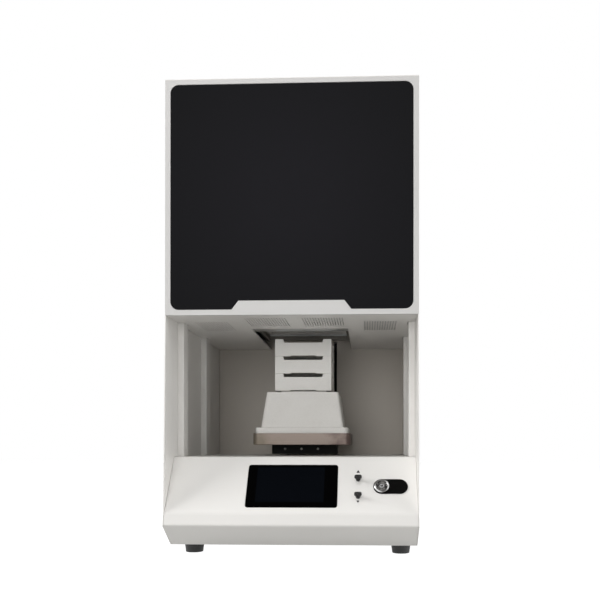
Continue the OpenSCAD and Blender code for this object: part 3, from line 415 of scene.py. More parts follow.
def printed_glass():
    """Black back-printed glass of the front, with a painted reflection: the print is painted a little paler
    in the middle than at its edges.
    """
    tree, shader, place = finish("black_glass", 0.07, specular=0.1)
    middle_height = 0.53
    centre = put(tree, "Mapping", {"Vector": place, "Location": (0, 0, -middle_height), "Scale": (1, 0, 1)})
    out_from = put(tree, "VectorMath", {0: centre.outputs[0]}, operation="LENGTH").outputs["Value"]
    # painted reflection: the print colour is made paler towards the middle of the glass
    painted_reflection = between(tree, out_from, 0.05, 0.24, 1.0, 0.0)
    smear = noise(tree, place, 14.0, 5.0, 0.6)
    dress(tree, shader, blend(tree, painted_reflection, (0.004, 0.004, 0.005), (0.0085, 0.008, 0.0105)),
          between(tree, smear, 0.35, 0.75, 0.05, 0.13))


def screen_glass():
    """The touch screen: black border print round a dark display area that shows a trace of blue."""
    tree, shader, place = finish("screen_glass", 0.06, specular=0.01)
    local = seen_from(tree, place, on_panel(*DISPLAY_SPOT))
    width, height = DISPLAY_SIZE
    lit = use(tree, "window", local, Width=width, Height=height, Softness=0.0006)["Mask"]
    smear = noise(tree, place, 30.0, 5.0, 0.65)
    dress(tree, shader, blend(tree, lit, (0.0004, 0.0004, 0.0005), (0.0018, 0.0025, 0.0040)),
          between(tree, smear, 0.35, 0.75, 0.04, 0.14))


def tinted_pan():
    """Sheet steel under the hot plug: satin, with warm oxide tints towards its right corner."""
    tree, shader, place = finish("pan_steel", 0.42, metallic=0.55)
    marks = use(tree, "brushed", place, Colour=(0.35, 0.285, 0.245), Roughness=0.42,
                Stretch=(6.0, 60.0, 900.0), Spread=0.14)
    across = put(tree, "SeparateXYZ", {0: place}).outputs["X"]
    patch = noise(tree, place, 26.0, 4.0, 0.6)
    reach = sums(tree, "ADD", across, between(tree, patch, 0.2, 0.8, -0.04, 0.04))
    purple = between(tree, reach, 0.045, 0.078, 0.0, 0.85)
    left = between(tree, reach, -0.045, -0.085, 0.0, 0.75)
    warm = blend(tree, purple, marks["Colour"], (0.13, 0.085, 0.08))
    tinted = blend(tree, left, warm, (0.20, 0.175, 0.13))
    dress(tree, shader, tinted, marks["Roughness"], marks["Height"])


def glint_painted_ring():
    """The power switch's ring: steel with painted reflections, bright low on its left and on its right, dark
    elsewhere.
    """
    tree, shader, place = finish("ring_with_painted_glints", 0.16, metallic=1.0)
    local = seen_from(tree, place, panel_spot("power_button")[0])
    patch = between(tree, noise(tree, place, 190.0, 3.0, 0.6), 0.3, 0.7, -0.0015, 0.0015)
    glint_lobes = []
    # painted reflections: the two ways across the ring towards which its colour is painted bright
    for way in ((-0.75, -0.66, 0), (0.97, 0.1, 0)):
        toward = put(tree, "VectorMath", {0: local, 1: way}, operation="DOT_PRODUCT").outputs["Value"]
        glint_lobes.append(between(tree, sums(tree, "ADD", toward, patch), 0.005, 0.0095))
    painted_glint = sums(tree, "MAXIMUM", *glint_lobes)
    marks = use(tree, "brushed", place, Colour=(0.8, 0.8, 0.8), Roughness=0.16, Stretch=3 * (500.0,),
                Spread=0.1)
    dress(tree, shader, blend(tree, painted_glint, (0.16, 0.155, 0.15), marks["Colour"]), marks["Roughness"])


def smudge_and_reflection_cap():
    """The power button's cap: dark satin metal whose mottle is painted reflection in its colour and smudges
    in its roughness and relief.
    """
    tree, shader, place = finish("power_cap", 0.3, metallic=1.0)
    smudge_and_reflection = noise(tree, place, 210.0, 3.0, 0.55, 0.8)
    # painted reflection: the mottle makes the cap's colour paler and darker in patches
    tone = between(tree, smudge_and_reflection, 0.42, 0.68)
    dress(tree, shader, blend(tree, tone, (0.03, 0.028, 0.028), (0.24, 0.235, 0.225)),
          between(tree, smudge_and_reflection, 0.3, 0.7, 0.2, 0.42), smudge_and_reflection, 0.00003)


def circuit_board():
    """Green solder mask with paler copper under it, in straight runs."""
    tree, shader, place = finish("circuit_board", 0.35)
    runs = put(tree, "TexBrick", {"Vector": place, "Scale": 60.0, "Mortar Size": 0.03,
                                  "Color1": (0.02, 0.13, 0.05), "Color2": (0.015, 0.10, 0.04),
                                  "Mortar": (0.06, 0.26, 0.10)})
    dress(tree, shader, runs.outputs["Color"], height=noise(tree, place, 500.0))


coated("white_enamel", (0.80, 0.785, 0.76), 0.42)
# painted shade: the front fascia takes a darker copy of the white enamel, for the shade that falls on it
coated("fascia_shaded_enamel", (0.63, 0.622, 0.612), 0.42)
coated("bay_enamel", (0.50, 0.465, 0.42), 0.5, drift=0.08, specks=0.1)
coated("plate_black", (0.002, 0.002, 0.002), 0.36, drift=0.01, specks=0.03, grain=1200.0, depth=0.00002,
       wear=0.06, bare=(0.12, 0.12, 0.12), specular=0.01)
coated("silicide", (0.12, 0.12, 0.125), 0.35, drift=0.2, specks=0.2, grain=300.0, depth=0.0001)
coated("member_black", (0.004, 0.0045, 0.004), 0.5, drift=0.02, specks=0.03, wear=0.2,
       bare=(0.05, 0.05, 0.048), specular=0.12)
coated("bracket_oxide", (0.008, 0.008, 0.009), 0.5, drift=0.03, specks=0.05, specular=0.15)
coated("motor_black", (0.018, 0.018, 0.02), 0.4, wear=0.3, bare=(0.35, 0.35, 0.35))
coated("transformer_iron", (0.09, 0.065, 0.05), 0.35, drift=0.3, grain=300.0, depth=0.0001)
brushed("zinc_plate", (0.60, 0.61, 0.61), 0.45, (30.0, 60.0, 400.0), 0.2)
brushed("screw_steel", (0.62, 0.62, 0.62), 0.3, 3 * (300.0,), 0.1)
brushed("screw_dull", (0.62, 0.62, 0.60), 0.4, 3 * (300.0,), 0.1)
brushed("module_metal", (0.5, 0.51, 0.52), 0.35, wear=0.3)
brushed("switch_dark", (0.035, 0.034, 0.033), 0.24, 3 * (400.0,), 0.2)
brushed("ring_chrome", (0.78, 0.78, 0.79), 0.12, 3 * (500.0,), 0.08)
brushed("strap_aluminium", (0.68, 0.68, 0.69), 0.4, (60.0, 500.0, 500.0))
brushed("drive_steel", (0.6, 0.6, 0.6), 0.25, (300.0, 300.0, 12.0))
brushed("carriage_aluminium", (0.6, 0.61, 0.62), 0.38, (14.0, 300.0, 400.0), wear=0.3)
brushed("nut_brass", (0.62, 0.43, 0.17), 0.28, (200.0, 200.0, 700.0))
brushed("guard_chrome", (0.72, 0.72, 0.73), 0.16, 3 * (200.0,), 0.1)
moulded("foot_rubber", (0.010, 0.010, 0.010), 0.55, dust=0.03, grain=900.0, depth=0.0001)
moulded("fan_black", (0.014, 0.014, 0.015), 0.45)
# black of the printed marks, and painted shade on the sheet inside the rear cover
moulded("print_and_shade_black", (0.004, 0.004, 0.004), 0.6, dust=0.0, specular=0.1)
felted("fibre", (0.92, 0.905, 0.875), (0.56, 0.52, 0.46), 0.1, chip=0.3)
felted("fibre_rope", (0.30, 0.285, 0.26), (0.16, 0.15, 0.13), 0.2)
felted("alumina", (0.93, 0.915, 0.885), (0.52, 0.49, 0.45), 0.08, strands=420.0, depth=0.00006, chip=0.4)
printed_glass()
screen_glass()
tinted_pan()
glint_painted_ring()
smudge_and_reflection_cap()
circuit_board()


# making pieces
def settle(obj, body, material, replaces=()):
    """Gives a finished piece its material, its body and what it stands for."""
    obj.data.materials.clear()
    obj.data.materials.append(MATERIALS[material])
    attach(obj, body)
    if replaces:
        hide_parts(*replaces)


def baked(obj):
    """The piece with its modifiers made part of its mesh."""
    depsgraph = bpy.context.evaluated_depsgraph_get()
    mesh = bpy.data.meshes.new_from_object(obj.evaluated_get(depsgraph))
    obj.modifiers.clear()
    obj.data = mesh
    return obj


def linked(name, mesh):
    """A new object of the scene with this mesh."""
    obj = bpy.data.objects.new(name, mesh)
    scene.collection.objects.link(obj)
    return obj


def new_object(name, work):
    """A new object from a bmesh, which is used up."""
    mesh = bpy.data.meshes.new(name)
    work.to_mesh(mesh)
    work.free()
    return linked(name, mesh)


def shaded(obj, smooth_angle):
    """Smooth shading, but for edges where the faces meet at more than the angle, in degrees."""
    work = bmesh.new()
    work.from_mesh(obj.data)
    limit = math.radians(smooth_angle)
    for edge in work.edges:
        edge.smooth = len(edge.link_faces) == 2 and edge.calc_face_angle(0.0) < limit
    for face in work.faces:
        face.smooth = True
    work.to_mesh(obj.data)
    work.free()
    return obj


def from_work(name, work, smooth_angle):
    """A piece from a bmesh, with its faces turned outwards."""
    bmesh.ops.remove_doubles(work, verts=work.verts, dist=1e-6)
    bmesh.ops.recalc_face_normals(work, faces=work.faces)
    return shaded(new_object(name, work), smooth_angle)


def merged_copy(node):
    """The CAD solid's mesh in a bmesh, with its corners joined and its flat faces whole."""
    work = bmesh.new()
    work.from_mesh(nodes[node].data)
    bmesh.ops.remove_doubles(work, verts=work.verts, dist=2e-6)
    bmesh.ops.dissolve_limit(work, angle_limit=math.radians(0.4), verts=work.verts, edges=work.edges)
    return work


# Faces are marked by their material index while a solid's edges are broken
FLAT, ROUNDED = 0, 1


def true_normals(obj):
    """Flat faces keep their own normals, and rounded ones run into them. All marks are cleared."""
    mesh = obj.data
    meeting = [[] for vertex in mesh.vertices]
    for face in mesh.polygons:
        for index in face.vertices:
            meeting[index].append(face)
    sharp = math.cos(math.radians(50))
    normals = []
    for face in mesh.polygons:
        own = face.normal.copy()
        for index in face.vertices:
            near = [f for f in meeting[index] if f.normal.dot(own) > sharp]
            flat = [f for f in near if f.material_index == FLAT]
            total = sum((f.normal * (f.area / MM ** 2) ** 2 for f in flat or near), Vector())
            keeps = face.material_index == FLAT or total.length < 1e-9
            normals.append(own if keeps else total.normalized())
    mesh.normals_split_custom_set(normals)
    for face in mesh.polygons:
        face.material_index = FLAT
    return obj


def softened(node, edge, bends=()):
    """A copy of a CAD solid with its edges broken. bends: a wider reach in mm and the edges that take it."""
    level, sharp = math.radians(0.5), math.radians(32)
    work = merged_copy(node)
    for face in work.faces:
        face.smooth = True
        turns = [e.calc_face_angle(0.0) for e in face.edges if len(e.link_faces) == 2]
        face.material_index = ROUNDED if any(level < turn < sharp for turn in turns) else FLAT
    for reach, chosen in bends:
        picked = [e for e in work.edges if len(e.link_faces) == 2 and chosen(e)]
        bmesh.ops.bevel(work, geom=picked, offset=reach * MM, offset_type="OFFSET", segments=6, profile=0.5,
                        affect="EDGES", clamp_overlap=True, material=ROUNDED)
    obj = new_object(node + "_skin", work)
    for mark in (FLAT, ROUNDED):
        obj.data.materials.append(None)
    bevel = obj.modifiers.new("edge", "BEVEL")
    bevel.width = edge * MM
    bevel.segments = 2
    bevel.limit_method = "ANGLE"
    bevel.angle_limit = sharp
    bevel.material = ROUNDED
    return true_normals(baked(obj))


def level_edge(place, within):
    """Chooses long edges across the furnace that pass near a depth and height, in millimetres."""
    def test(e):
        a, b = e.verts[0].co, e.verts[1].co
        if abs(a.y - b.y) > 1e-5 or abs(a.z - b.z) > 1e-5 or abs(a.x - b.x) < 0.01:
            return False
        off = math.hypot((a.y - FRONT) / MM - place[0], a.z / MM - place[1])
        return within[0] <= off <= within[1]
    return test


def edge_at_height(height):
    """Chooses level edges at a height in millimetres."""
    def test(e):
        return all(abs(v.co.z / MM - height) < 0.05 for v in e.verts)
    return test


def turned(name, profile, place, segments, closed=False, smooth_angle=35.0):
    """A solid of revolution about the place's z axis, from radii and heights in millimetres."""
    work = bmesh.new()
    rings = []
    for radius, height in profile:
        count = segments if radius > 1e-5 else 1
        angles = [math.tau * k / segments for k in range(count)]
        rings.append([work.verts.new(place @ Vector((radius * math.cos(a), radius * math.sin(a), height)))
                      for a in angles])
    pairs = list(zip(rings, rings[1:]))
    if closed:
        pairs.append((rings[-1], rings[0]))
    for low, high in pairs:
        for k in range(segments):
            corners = [ring[i % len(ring)] for ring, i in ((low, k), (low, k + 1), (high, k + 1), (high, k))]
            unique = list(dict.fromkeys(corners))
            if len(unique) > 2:
                work.faces.new(unique)
    return from_work(name, work, smooth_angle)


def eased(profile, radius, steps=4, closed=False):
    """A profile with its corners rounded by about the radius."""
    straight = math.radians(172)
    points = [Vector(p) for p in profile]
    result = []
    for k, corner in enumerate(points):
        if not closed and k in (0, len(points) - 1):
            result.append(tuple(corner))
            continue
        before, after = points[k - 1] - corner, points[(k + 1) % len(points)] - corner
        turn = before.angle(after)
        if turn > straight:
            result.append(tuple(corner))
            continue
        reach = min(radius / math.tan(turn / 2), 0.45 * before.length, 0.45 * after.length)
        a, b = corner + before.normalized() * reach, corner + after.normalized() * reach
        for step in range(steps + 1):
            t = step / steps
            result.append(tuple((1 - t) ** 2 * a + 2 * t * (1 - t) * corner + t ** 2 * b))
    return result


def lofted(name, levels, place, smooth_angle=30.0):
    """A solid through outlines of as many points each, every one with its height, in millimetres."""
    work = bmesh.new()
    rings = [[work.verts.new(place @ Vector((x, y, z))) for x, y in outline] for outline, z in levels]
    work.faces.new(rings[0])
    work.faces.new(rings[-1])
    for low, high in zip(rings, rings[1:]):
        for k in range(len(low)):
            after = (k + 1) % len(low)
            work.faces.new([low[k], low[after], high[after], high[k]])
    return from_work(name, work, smooth_angle)


def plate(name, outline, low, high, place):
    """A flat piece from its outline and two heights in millimetres."""
    return lofted(name, [(outline, low), (outline, high)], place)


def arc(radius, start, stop, steps):
    """Points along part of a circle, from one angle in radians to another."""
    angles = [start + (stop - start) * k / steps for k in range(steps + 1)]
    return [(radius * math.cos(a), radius * math.sin(a)) for a in angles]


def rounded_outline(wide, tall, corner):
    """A rectangle with rounded corners."""
    points = []
    for quarter, (x, y) in enumerate(((1, 1), (-1, 1), (-1, -1), (1, -1))):
        across, up = x * (wide / 2 - corner), y * (tall / 2 - corner)
        turn = math.radians(90 * quarter)
        points += [(across + a, up + b) for a, b in arc(corner, turn, turn + math.radians(90), 8)]
    return points


def broken_box(name, low, high, edge, place):
    """A box with broken edges, in millimetres."""
    work = bmesh.new()
    bmesh.ops.create_cube(work, size=1.0)
    for v in work.verts:
        for axis in range(3):
            v.co[axis] = (low[axis] + high[axis]) / 2 + v.co[axis] * (high[axis] - low[axis])
    bmesh.ops.bevel(work, geom=work.edges[:], offset=edge, segments=2, profile=0.5, affect="EDGES",
                    clamp_overlap=True)
    bmesh.ops.transform(work, matrix=place, verts=work.verts)
    return from_work(name, work, 50.0)


def joined(name, pieces):
    """Several pieces of the same finish and body as one."""
    work = bmesh.new()
    for piece in pieces:
        work.from_mesh(piece.data)
        bpy.data.objects.remove(piece)
    return new_object(name, work)


# geometry that repeats
def vector_of(tree, x=0.0, y=0.0, z=0.0):
    return put(tree, "CombineXYZ", {0: x, 1: y, 2: z}).outputs[0]


def sprout(tree, kind, wires=None, **settings):
    return grow(tree, "GeometryNode" + kind, wires, **settings)


def planted(tree, into, out, shape):
    """Ends a tree: its shape on every point, turned to the point's aim attribute, as real geometry."""
    aim = sprout(tree, "InputNamedAttribute", {"Name": "aim"}, data_type="FLOAT_VECTOR").outputs[0]
    turn = grow(tree, "FunctionNodeAlignRotationToVector", {"Vector": aim}, axis="Z").outputs[0]
    spread = sprout(tree, "InstanceOnPoints", {"Points": into["Geometry"], "Instance": shape,
                                               "Rotation": turn}).outputs[0]
    real = sprout(tree, "RealizeInstances", {0: spread}).outputs[0]
    done = sprout(tree, "SetMaterial", {0: real, "Material": into["Material"]}).outputs[0]
    return give(tree, out, done)


def screw_tree():
    """Cross-recessed screws with domed heads on points whose aim attribute is the way that they face."""
    tree, into, out = group("Geometry", "cross_screws", ["Geometry"], "Geometry",
                            "Head Radius", "Head Height", "Shank Radius", "Shank Length", "Material")
    radius, height, length = into["Head Radius"], into["Head Height"], into["Shank Length"]
    ball = sprout(tree, "MeshUVSphere", {"Segments": 32, "Rings": 16, "Radius": 1.0}).outputs[0]
    dome = sprout(tree, "Transform", {0: ball, "Scale": vector_of(tree, radius, radius, height)}).outputs[0]
    arm = vector_of(tree, times(tree, radius, 1.15), times(tree, radius, 0.2), times(tree, height, 1.1))
    bar = sprout(tree, "MeshCube", {"Size": arm}).outputs[0]
    cut = sprout(tree, "MeshBoolean", {0: dome}, operation="DIFFERENCE")
    top = vector_of(tree, z=height)
    for quarter in (math.pi / 2, 0.0):
        recess = sprout(tree, "Transform", {0: bar, "Translation": top, "Rotation": (0, 0, quarter)})
        tree.links.new(recess.outputs[0], cut.inputs[1])
    rod = sprout(tree, "MeshCylinder", {"Vertices": 20, "Radius": into["Shank Radius"], "Depth": length})
    sunk = vector_of(tree, z=times(tree, length, -0.5))
    shank = sprout(tree, "Transform", {0: rod.outputs[0], "Translation": sunk})
    whole = sprout(tree, "JoinGeometry")
    for part in (shank, cut):
        tree.links.new(part.outputs[0], whole.inputs[0])
    return planted(tree, into, out, whole.outputs[0])


def ring_tree():
    """Rounded rings of wire on a line of points, for a screw's thread."""
    tree, into, out = group("Geometry", "ring_stack", ["Geometry"], "Geometry",
                            "Width", "Length", "Corner", "Wire", "Material")
    line = sprout(tree, "CurvePrimitiveQuadrilateral", {"Width": into["Width"], "Height": into["Length"]})
    soft = sprout(tree, "FilletCurve", {"Curve": line.outputs[0], "Radius": into["Corner"], "Count": 10,
                                        "Limit Radius": True}, mode="POLY")
    wire = sprout(tree, "CurvePrimitiveCircle", {"Resolution": 8, "Radius": into["Wire"]}).outputs[0]
    ring = sprout(tree, "CurveToMesh", {"Curve": soft.outputs[0], "Profile Curve": wire})
    return planted(tree, into, out, ring.outputs[0])


SCREWS, RINGS = screw_tree(), ring_tree()


def repeated(name, tree, places, material, **sizes):
    """Points at places, each with a way to face, grown into geometry by a tree. Sizes are in millimetres."""
    mesh = bpy.data.meshes.new(name + "_points")
    mesh.from_pydata([tuple(place) for place, way in places], [], [])
    aims = mesh.attributes.new("aim", "FLOAT_VECTOR", "POINT")
    for k, (place, way) in enumerate(places):
        aims.data[k].vector = way
    obj = linked(name, mesh)
    values = {label.replace("_", " "): value * MM for label, value in sizes.items()}
    values["Material"] = MATERIALS[material]
    modifier = obj.modifiers.new("grow", "NODES")
    modifier.node_group = tree
    for item in tree.interface.items_tree:
        if item.in_out == "INPUT" and item.name in values:
            modifier[item.identifier] = values[item.name]
    baked(obj)
    if "aim" in obj.data.attributes:
        obj.data.attributes.remove(obj.data.attributes["aim"])
    return shaded(obj, 40.0)


# the casing and the other plain sheets and blocks: by finish, each one's edge radius in millimetres
SKINS = {
    "white_enamel": {"side_panel_left": 0.35, "side_panel_right": 0.35, "top_cover": 0.4, "rear_cover": 0.3,
                     "soffit_plate": 0.15, "bay_floor": 0.2, "front_posts": 0.6, "middle_posts": 0.6},
    "fascia_shaded_enamel": {"front_fascia": 0.35},
    "bay_enamel": {"bay_back_wall": 0.2},
    "zinc_plate": {"bottom_pan": 0.3, "furnace_platform": 0.3, "mouth_guard": 0.3, "furnace_shell": 0.5,
                   "power_supply": 0.5},
    "black_glass": {"glass_panel": 0.5},
    "screen_glass": {"screen_glass": 0.35},
    "module_metal": {"display_module": 0.5},
    "plate_black": {"power_plate": 0.4},
    "fibre": {"insulation_floor": 1.0, "insulation_walls": 1.0, "insulation_roof": 1.0, "hearth_plug": 1.0,
              "plug_base": 1.2},
    "fibre_rope": {"mouth_seal": 0.8},
    "alumina": {"element_holders": 0.8, "thermocouple": 0.6, "hearth_tile": 0.4, "tray_lower": 0.35,
                "tray_middle": 0.35, "tray_upper": 0.35},
    "silicide": {"heating_elements": 0.3},
    "strap_aluminium": {"element_straps": 0.4, "power_controller": 0.3},
    "member_black": {"cross_member": 0.5, "lift_arms": 0.4},
    "carriage_aluminium": {"lift_carriage": 0.8, "screw_coupling": 0.6},
    "drive_steel": {"linear_bearings": 0.5, "guide_rods": 0.6},
    "bracket_oxide": {"drive_brackets": 0.8},
    "nut_brass": {"lead_nut": 0.5},
    "motor_black": {"lift_motor": 2.0},
    "fan_black": {"rear_fan": 0.6, "mains_inlet": 0.6},
    "guard_chrome": {"fan_guard": 0.2},
    "transformer_iron": {"transformer": 0.8},
    "circuit_board": {"control_board": 0.2},
}
# finishes that stand in for the CAD's own one of their piece
bodies = frame["record"]["behaviour"]["bodies"]
body_of = {member: body for body, members in bodies.items() for member in members}
for material, edges in SKINS.items():
    for node, edge in edges.items():
        settle(softened(node, edge), body_of[node], material, replaces=[node])


# the folded console cover, the pan under the plug, and a black sheet painted in for shade
def console_cover():
    # the reach of each fold's outer edge and of its inner one, and how far off the inner one may lie
    folds = {NOSE: (2.3, 1.1, 2.4), BROW: (2.6, 2.0, 2.0), CREST: (1.7, 0.7, 2.4)}
    bends = [(outer, level_edge(place, (0, 0.4))) for place, (outer, inner, far) in folds.items()]
    bends += [(inner, level_edge(place, (SHEET - 0.3, far))) for place, (outer, inner, far) in folds.items()]
    settle(softened("console_cover", 0.2, bends), "root", "white_enamel", replaces=["console_cover"])


def plug_pan():
    """The pan with its lower edge rolled."""
    rim = [(1.0, edge_at_height(extent("plug_pan")[0][2]))]
    settle(softened("plug_pan", 0.3, rim), "lift", "pan_steel", replaces=["plug_pan"])


def rear_shade_sheet():
    """Painted shade: a black sheet inside the rear cover, standing in for the shade of the rear compartment
    where it shows through the lift's slots.
    """
    half_width, bottom, top = 140, 100, 430
    front, back = 457.7, 458.45
    shade_sheet = broken_box("rear_shade_sheet", (-half_width, front, bottom), (half_width, back, top), 0.1,
                        scaled(Matrix.Translation(at(0, 0, 0))))
    settle(shade_sheet, "root", "print_and_shade_black")


console_cover()
plug_pan()
rear_shade_sheet()


# the console's controls
def push_button(node, body):
    """A turned stem under a rounded cap whose top is stepped in."""
    spot, wide, tall, foot, top = panel_spot(node)
    height, corner, stem, chamfer, sunk = 2.0, 2.6, 1.9, 0.2, 0.1
    under = top - height
    # how far each level of the cap lies inside its outline and above its underside
    steps = [(0.35, 0.0), (0.0, 0.35), (0.0, 0.9), (0.12, 1.15), (0.4, 1.27), (0.85, 1.32), (0.95, 1.7),
             (1.15, 1.92), (1.5, height)]
    levels = [(rounded_outline(wide - 2 * inset, tall - 2 * inset, corner - inset), under + rise)
              for inset, rise in steps]
    profile = [(0, foot), (stem - chamfer, foot), (stem, foot + chamfer), (stem, under + sunk),
               (0, under + sunk)]
    parts = [lofted("cap", levels, spot, 40.0), turned("stem", profile, spot, 40)]
    settle(joined(node + "_made", parts), body, "switch_dark", replaces=[node])
    return spot


def push_switch(name, spot, replaces=()):
    """The switch under a push button: a threaded bushing with its nut, and a box behind the panel."""
    bore, thread, nut_top = 2.15, 3.0, 1.8
    ridges = [(thread if k % 2 else thread - 0.2, 2.0 + 0.25 * k) for k in range(11)]
    bushing = [(bore, -SHEET), (thread, -SHEET), (thread, nut_top)] + ridges + [(2.7, 5.2), (bore, 5.2)]
    nut = [(2.9, 0), (3.4, 0), (3.5, 0.15), (3.5, nut_top - 0.2), (3.4, nut_top), (2.9, nut_top)]
    parts = [turned("bushing", bushing, spot, 40, closed=True),
             turned("nut", nut, spot, 6, closed=True, smooth_angle=20),
             broken_box("box", (-5, -5, -15.5), (5, 5, -SHEET), 0.5, spot)]
    settle(joined(name, parts), "root", "switch_dark", replaces=replaces)


def power_ring(spot, radius):
    """The power switch's ring, with a rounded face, on its threaded body, and the nut behind the panel."""
    bore, ring, face, thread = radius + 0.05, 11.0, 3.4, 9.5
    plate_top = 1.2
    rim = eased([(thread, plate_top), (ring, plate_top), (ring, face), (bore, face), (bore, face - 4)], 1.05,
                steps=8)
    ridges = [(thread if k % 2 else thread - 0.4, -12 + 0.5 * k) for k in range(20)]
    back = [(0, -22), (9.0, -22), (9.4, -21.6), (9.4, -12.5)]
    body = back + ridges + [(thread, -1.8)] + rim + [(bore, -5.1), (0, -5.1)]
    settle(turned("power_switch_turned", body, spot, 96), "root", "ring_with_painted_glints",
           replaces=["power_switch_body"])
    nut = [(9.6, -4.6), (12.2, -4.6), (12.6, -4.2), (12.6, -2.0), (12.2, -1.6), (9.6, -1.6)]
    settle(turned("power_switch_nut", nut, spot, 6, closed=True, smooth_angle=20), "root", "ring_chrome")


def power_cap(spot, radius, foot, top):
    """The power switch's dished cap, and on it the mark, a broken ring with a bar."""
    dish = [(0, foot), (radius, foot), (radius, top - 0.45), (radius - 0.45, top), (radius - 1.1, top),
            (radius - 1.5, top - 0.3), (0, top - 0.42)]
    settle(turned("power_cap_turned", eased(dish, 0.25), spot, 96), "power_key", "power_cap",
           replaces=["power_button"])
    low, high = top - 0.43, top - 0.29
    start, stop = math.radians(118), math.radians(422)
    broken = arc(2.9, start, stop, 36) + arc(2.3, stop, start, 36)
    bar = [(-0.3, 0.7), (0.3, 0.7), (0.3, 3.3), (-0.3, 3.3)]
    marks = [plate("broken_ring", broken, low, high, spot), plate("bar", bar, low, high, spot)]
    settle(joined("power_mark", marks), "power_key", "ring_chrome")


def arrow(name, spot, centre, width, height, way):
    """A printed triangle on the slope, pointing up it or down it."""
    corners = [(-width / 2, -way * height / 2), (width / 2, -way * height / 2), (0, way * height / 2)]
    outline = [(x, centre + y) for x, y in corners]
    settle(plate(name, outline, 0.0, 0.05, spot), "root", "print_and_shade_black")


up_spot = push_button("up_button", "up_key")
down_spot = push_button("down_button", "down_key")
push_switch("up_switch", up_spot, ["switch_bodies"])
push_switch("down_switch", down_spot)
arrow("up_mark", up_spot, centre=14.2, width=5.2, height=4.8, way=1)
arrow("down_mark", down_spot, centre=-8.0, width=4.2, height=3.6, way=-1)
power_spot, power_width, _, power_foot, power_top = panel_spot("power_button")
power_ring(power_spot, power_width / 2)
power_cap(power_spot, power_width / 2, power_foot, power_top)


# feet
def feet():
    """Rubber feet with a tapered side and a hollow under the middle."""
    low, high = extent("feet")
    radius, hollow, height = 16.0, 3.5, high[2]
    profile = eased([(0, hollow), (4.6, hollow), (4.6, 0), (13.4, 0), (radius - 0.3, height - 2.2),
                     (radius, height), (0, height)], 1.1)
    spots = [Vector((x, y, 0)) for x in (low[0] + radius, high[0] - radius)
             for y in (low[1] + radius, high[1] - radius)]
    pads = [turned("foot", profile, scaled(Matrix.Translation(spot * MM)), 56) for spot in spots]
    settle(joined("rubber_feet", pads), "root", "foot_rubber", replaces=["feet"])


feet()


# screws
def islands(node):
    """The lowest and highest corner, in metres, of every separate solid of a CAD node."""
    work = merged_copy(node)
    seen, boxes = set(), []
    for first in work.verts:
        if first in seen:
            continue
        island, members = [first], {first}
        for vert in island:
            for edge in vert.link_edges:
                other = edge.other_vert(vert)
                if other not in members:
                    members.add(other)
                    island.append(other)
        seen |= members
        boxes.append([[pick(v.co[axis] for v in island) for axis in range(3)] for pick in (min, max)])
    work.free()
    return boxes


def screws_of(node, name, body, material, *, way, radius, height, shank):
    """Cross-recessed screws in place of a CAD node's, which lie along y. way: 1 faces back, -1 the front."""
    spots = {}
    for low, high in islands(node):
        x, z = (low[0] + high[0]) / 2, (low[2] + high[2]) / 2
        key = (round(x, 4), round(z, 4))
        end = high[1] - height * MM if way > 0 else low[1] + height * MM
        if key not in spots or way * (end - spots[key].y) > 0:
            spots[key] = Vector((x, end, z))
    points = [(spot, (0, way, 0)) for spot in spots.values()]
    grown = repeated(name, SCREWS, points, material, Head_Radius=radius, Head_Height=height, Shank_Radius=1.4,
                     Shank_Length=shank)
    settle(grown, body, material, replaces=[node])


screws_of("casing_screws", "casing_cross_screws", "root", "screw_steel",
          way=1, radius=3.4, height=2.0, shank=6.0)
screws_of("cross_member_screws", "member_cross_screws", "lift", "screw_dull",
          way=-1, radius=2.2, height=1.8, shank=8.0)


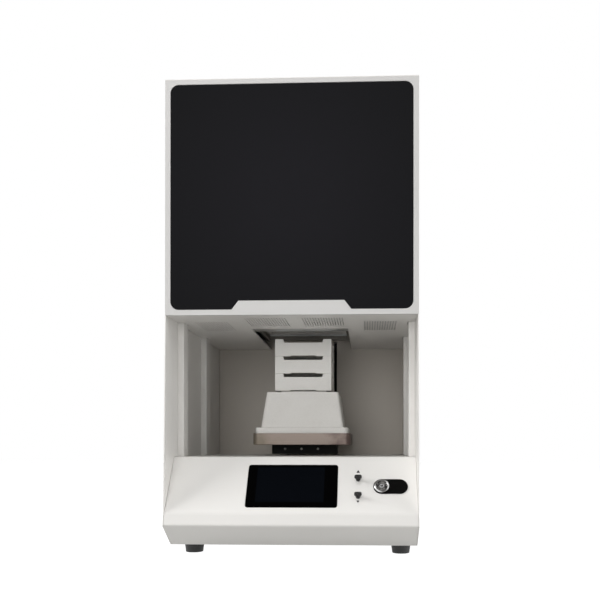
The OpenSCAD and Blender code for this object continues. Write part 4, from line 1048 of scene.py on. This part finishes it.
# the lift's drive and the rear fan
def lead_screw():
    """A core with rings of wire for the thread, out to the CAD rod's radius."""
    pitch, margin, wire, depth = 2.0, 3.0, 0.7, 0.8
    low, high = extent("lead_screw")
    x, y = (low[0] + high[0]) / 2, (low[1] + high[1]) / 2
    radius = (high[0] - low[0]) / 2
    root, across = radius - depth, 2 * (radius - wire)
    profile = eased([(0, low[2]), (root, low[2]), (root, high[2]), (0, high[2])], 0.4)
    core = turned("screw_core", profile, scaled(Matrix.Translation((x * MM, y * MM, 0))), 32)
    count = int((high[2] - low[2] - 2 * margin) / pitch)
    heights = [low[2] + margin + pitch * (k + 0.5) for k in range(count)]
    thread = repeated("screw_thread", RINGS, [(Vector((x, y, z)) * MM, (0, 0, 1)) for z in heights],
                      "drive_steel", Width=across, Length=across, Corner=across / 2, Wire=wire)
    settle(joined("threaded_lead_screw", [core, thread]), "screw", "drive_steel", replaces=["lead_screw"])


def fan_blades(axis, hub, reach, deep):
    """Swept and twisted blades round an axis, from inside the hub out to the reach."""
    blades, rows, columns = 7, 9, 8
    sweep, camber, clearance, inset = math.radians(14), 0.06, 1.6, 1.0
    work = bmesh.new()
    for blade in range(blades):
        grid = []
        for i in range(rows):
            out = i / (rows - 1)
            radius = hub - inset + (reach - hub + inset) * out
            half_turn = math.radians(21 - 3 * out)
            row = []
            for j in range(columns):
                chord = 2 * j / (columns - 1) - 1
                bend = chord * half_turn + camber * (1 - chord ** 2)
                angle = math.tau * blade / blades + sweep * out + bend
                height = deep / 2 + chord * (deep / 2 - clearance) * (0.95 - 0.15 * out)
                place = Vector((radius * math.cos(angle), radius * math.sin(angle), height))
                row.append(work.verts.new(axis @ place))
            grid.append(row)
        for inner, outer in zip(grid, grid[1:]):
            for j in range(columns - 1):
                work.faces.new([inner[j], outer[j], outer[j + 1], inner[j + 1]])
    leaf = from_work("blades", work, 60.0)
    thick = leaf.modifiers.new("thick", "SOLIDIFY")
    thick.thickness = 1.3 * MM
    thick.offset = 0.0
    return baked(leaf)


def fan_rotor():
    """A moulded hub with its blades."""
    low, high = extent("fan_rotor")
    x, z = (low[0] + high[0]) / 2, (low[2] + high[2]) / 2
    deep, reach, hub, bore, wall = high[1] - low[1], (high[0] - low[0]) / 2, 20.0, 2.6, 2
    backwards = Vector((0, 1, 0)).to_track_quat("Z", "Y").to_matrix().to_4x4()
    axis = scaled(Matrix.Translation(Vector((x, low[1], z)) * MM) @ backwards)
    shell = eased([(bore, 4), (bore, 0.6), (hub - 1, 0.6), (hub, 1.6), (hub, deep), (hub - wall, deep),
                   (hub - wall, 4)], 0.8, closed=True)
    pieces = [turned("hub", shell, axis, 72, closed=True), fan_blades(axis, hub, reach, deep)]
    settle(joined("moulded_rotor", pieces), "rotor", "fan_black", replaces=["fan_rotor"])


lead_screw()
fan_rotor()
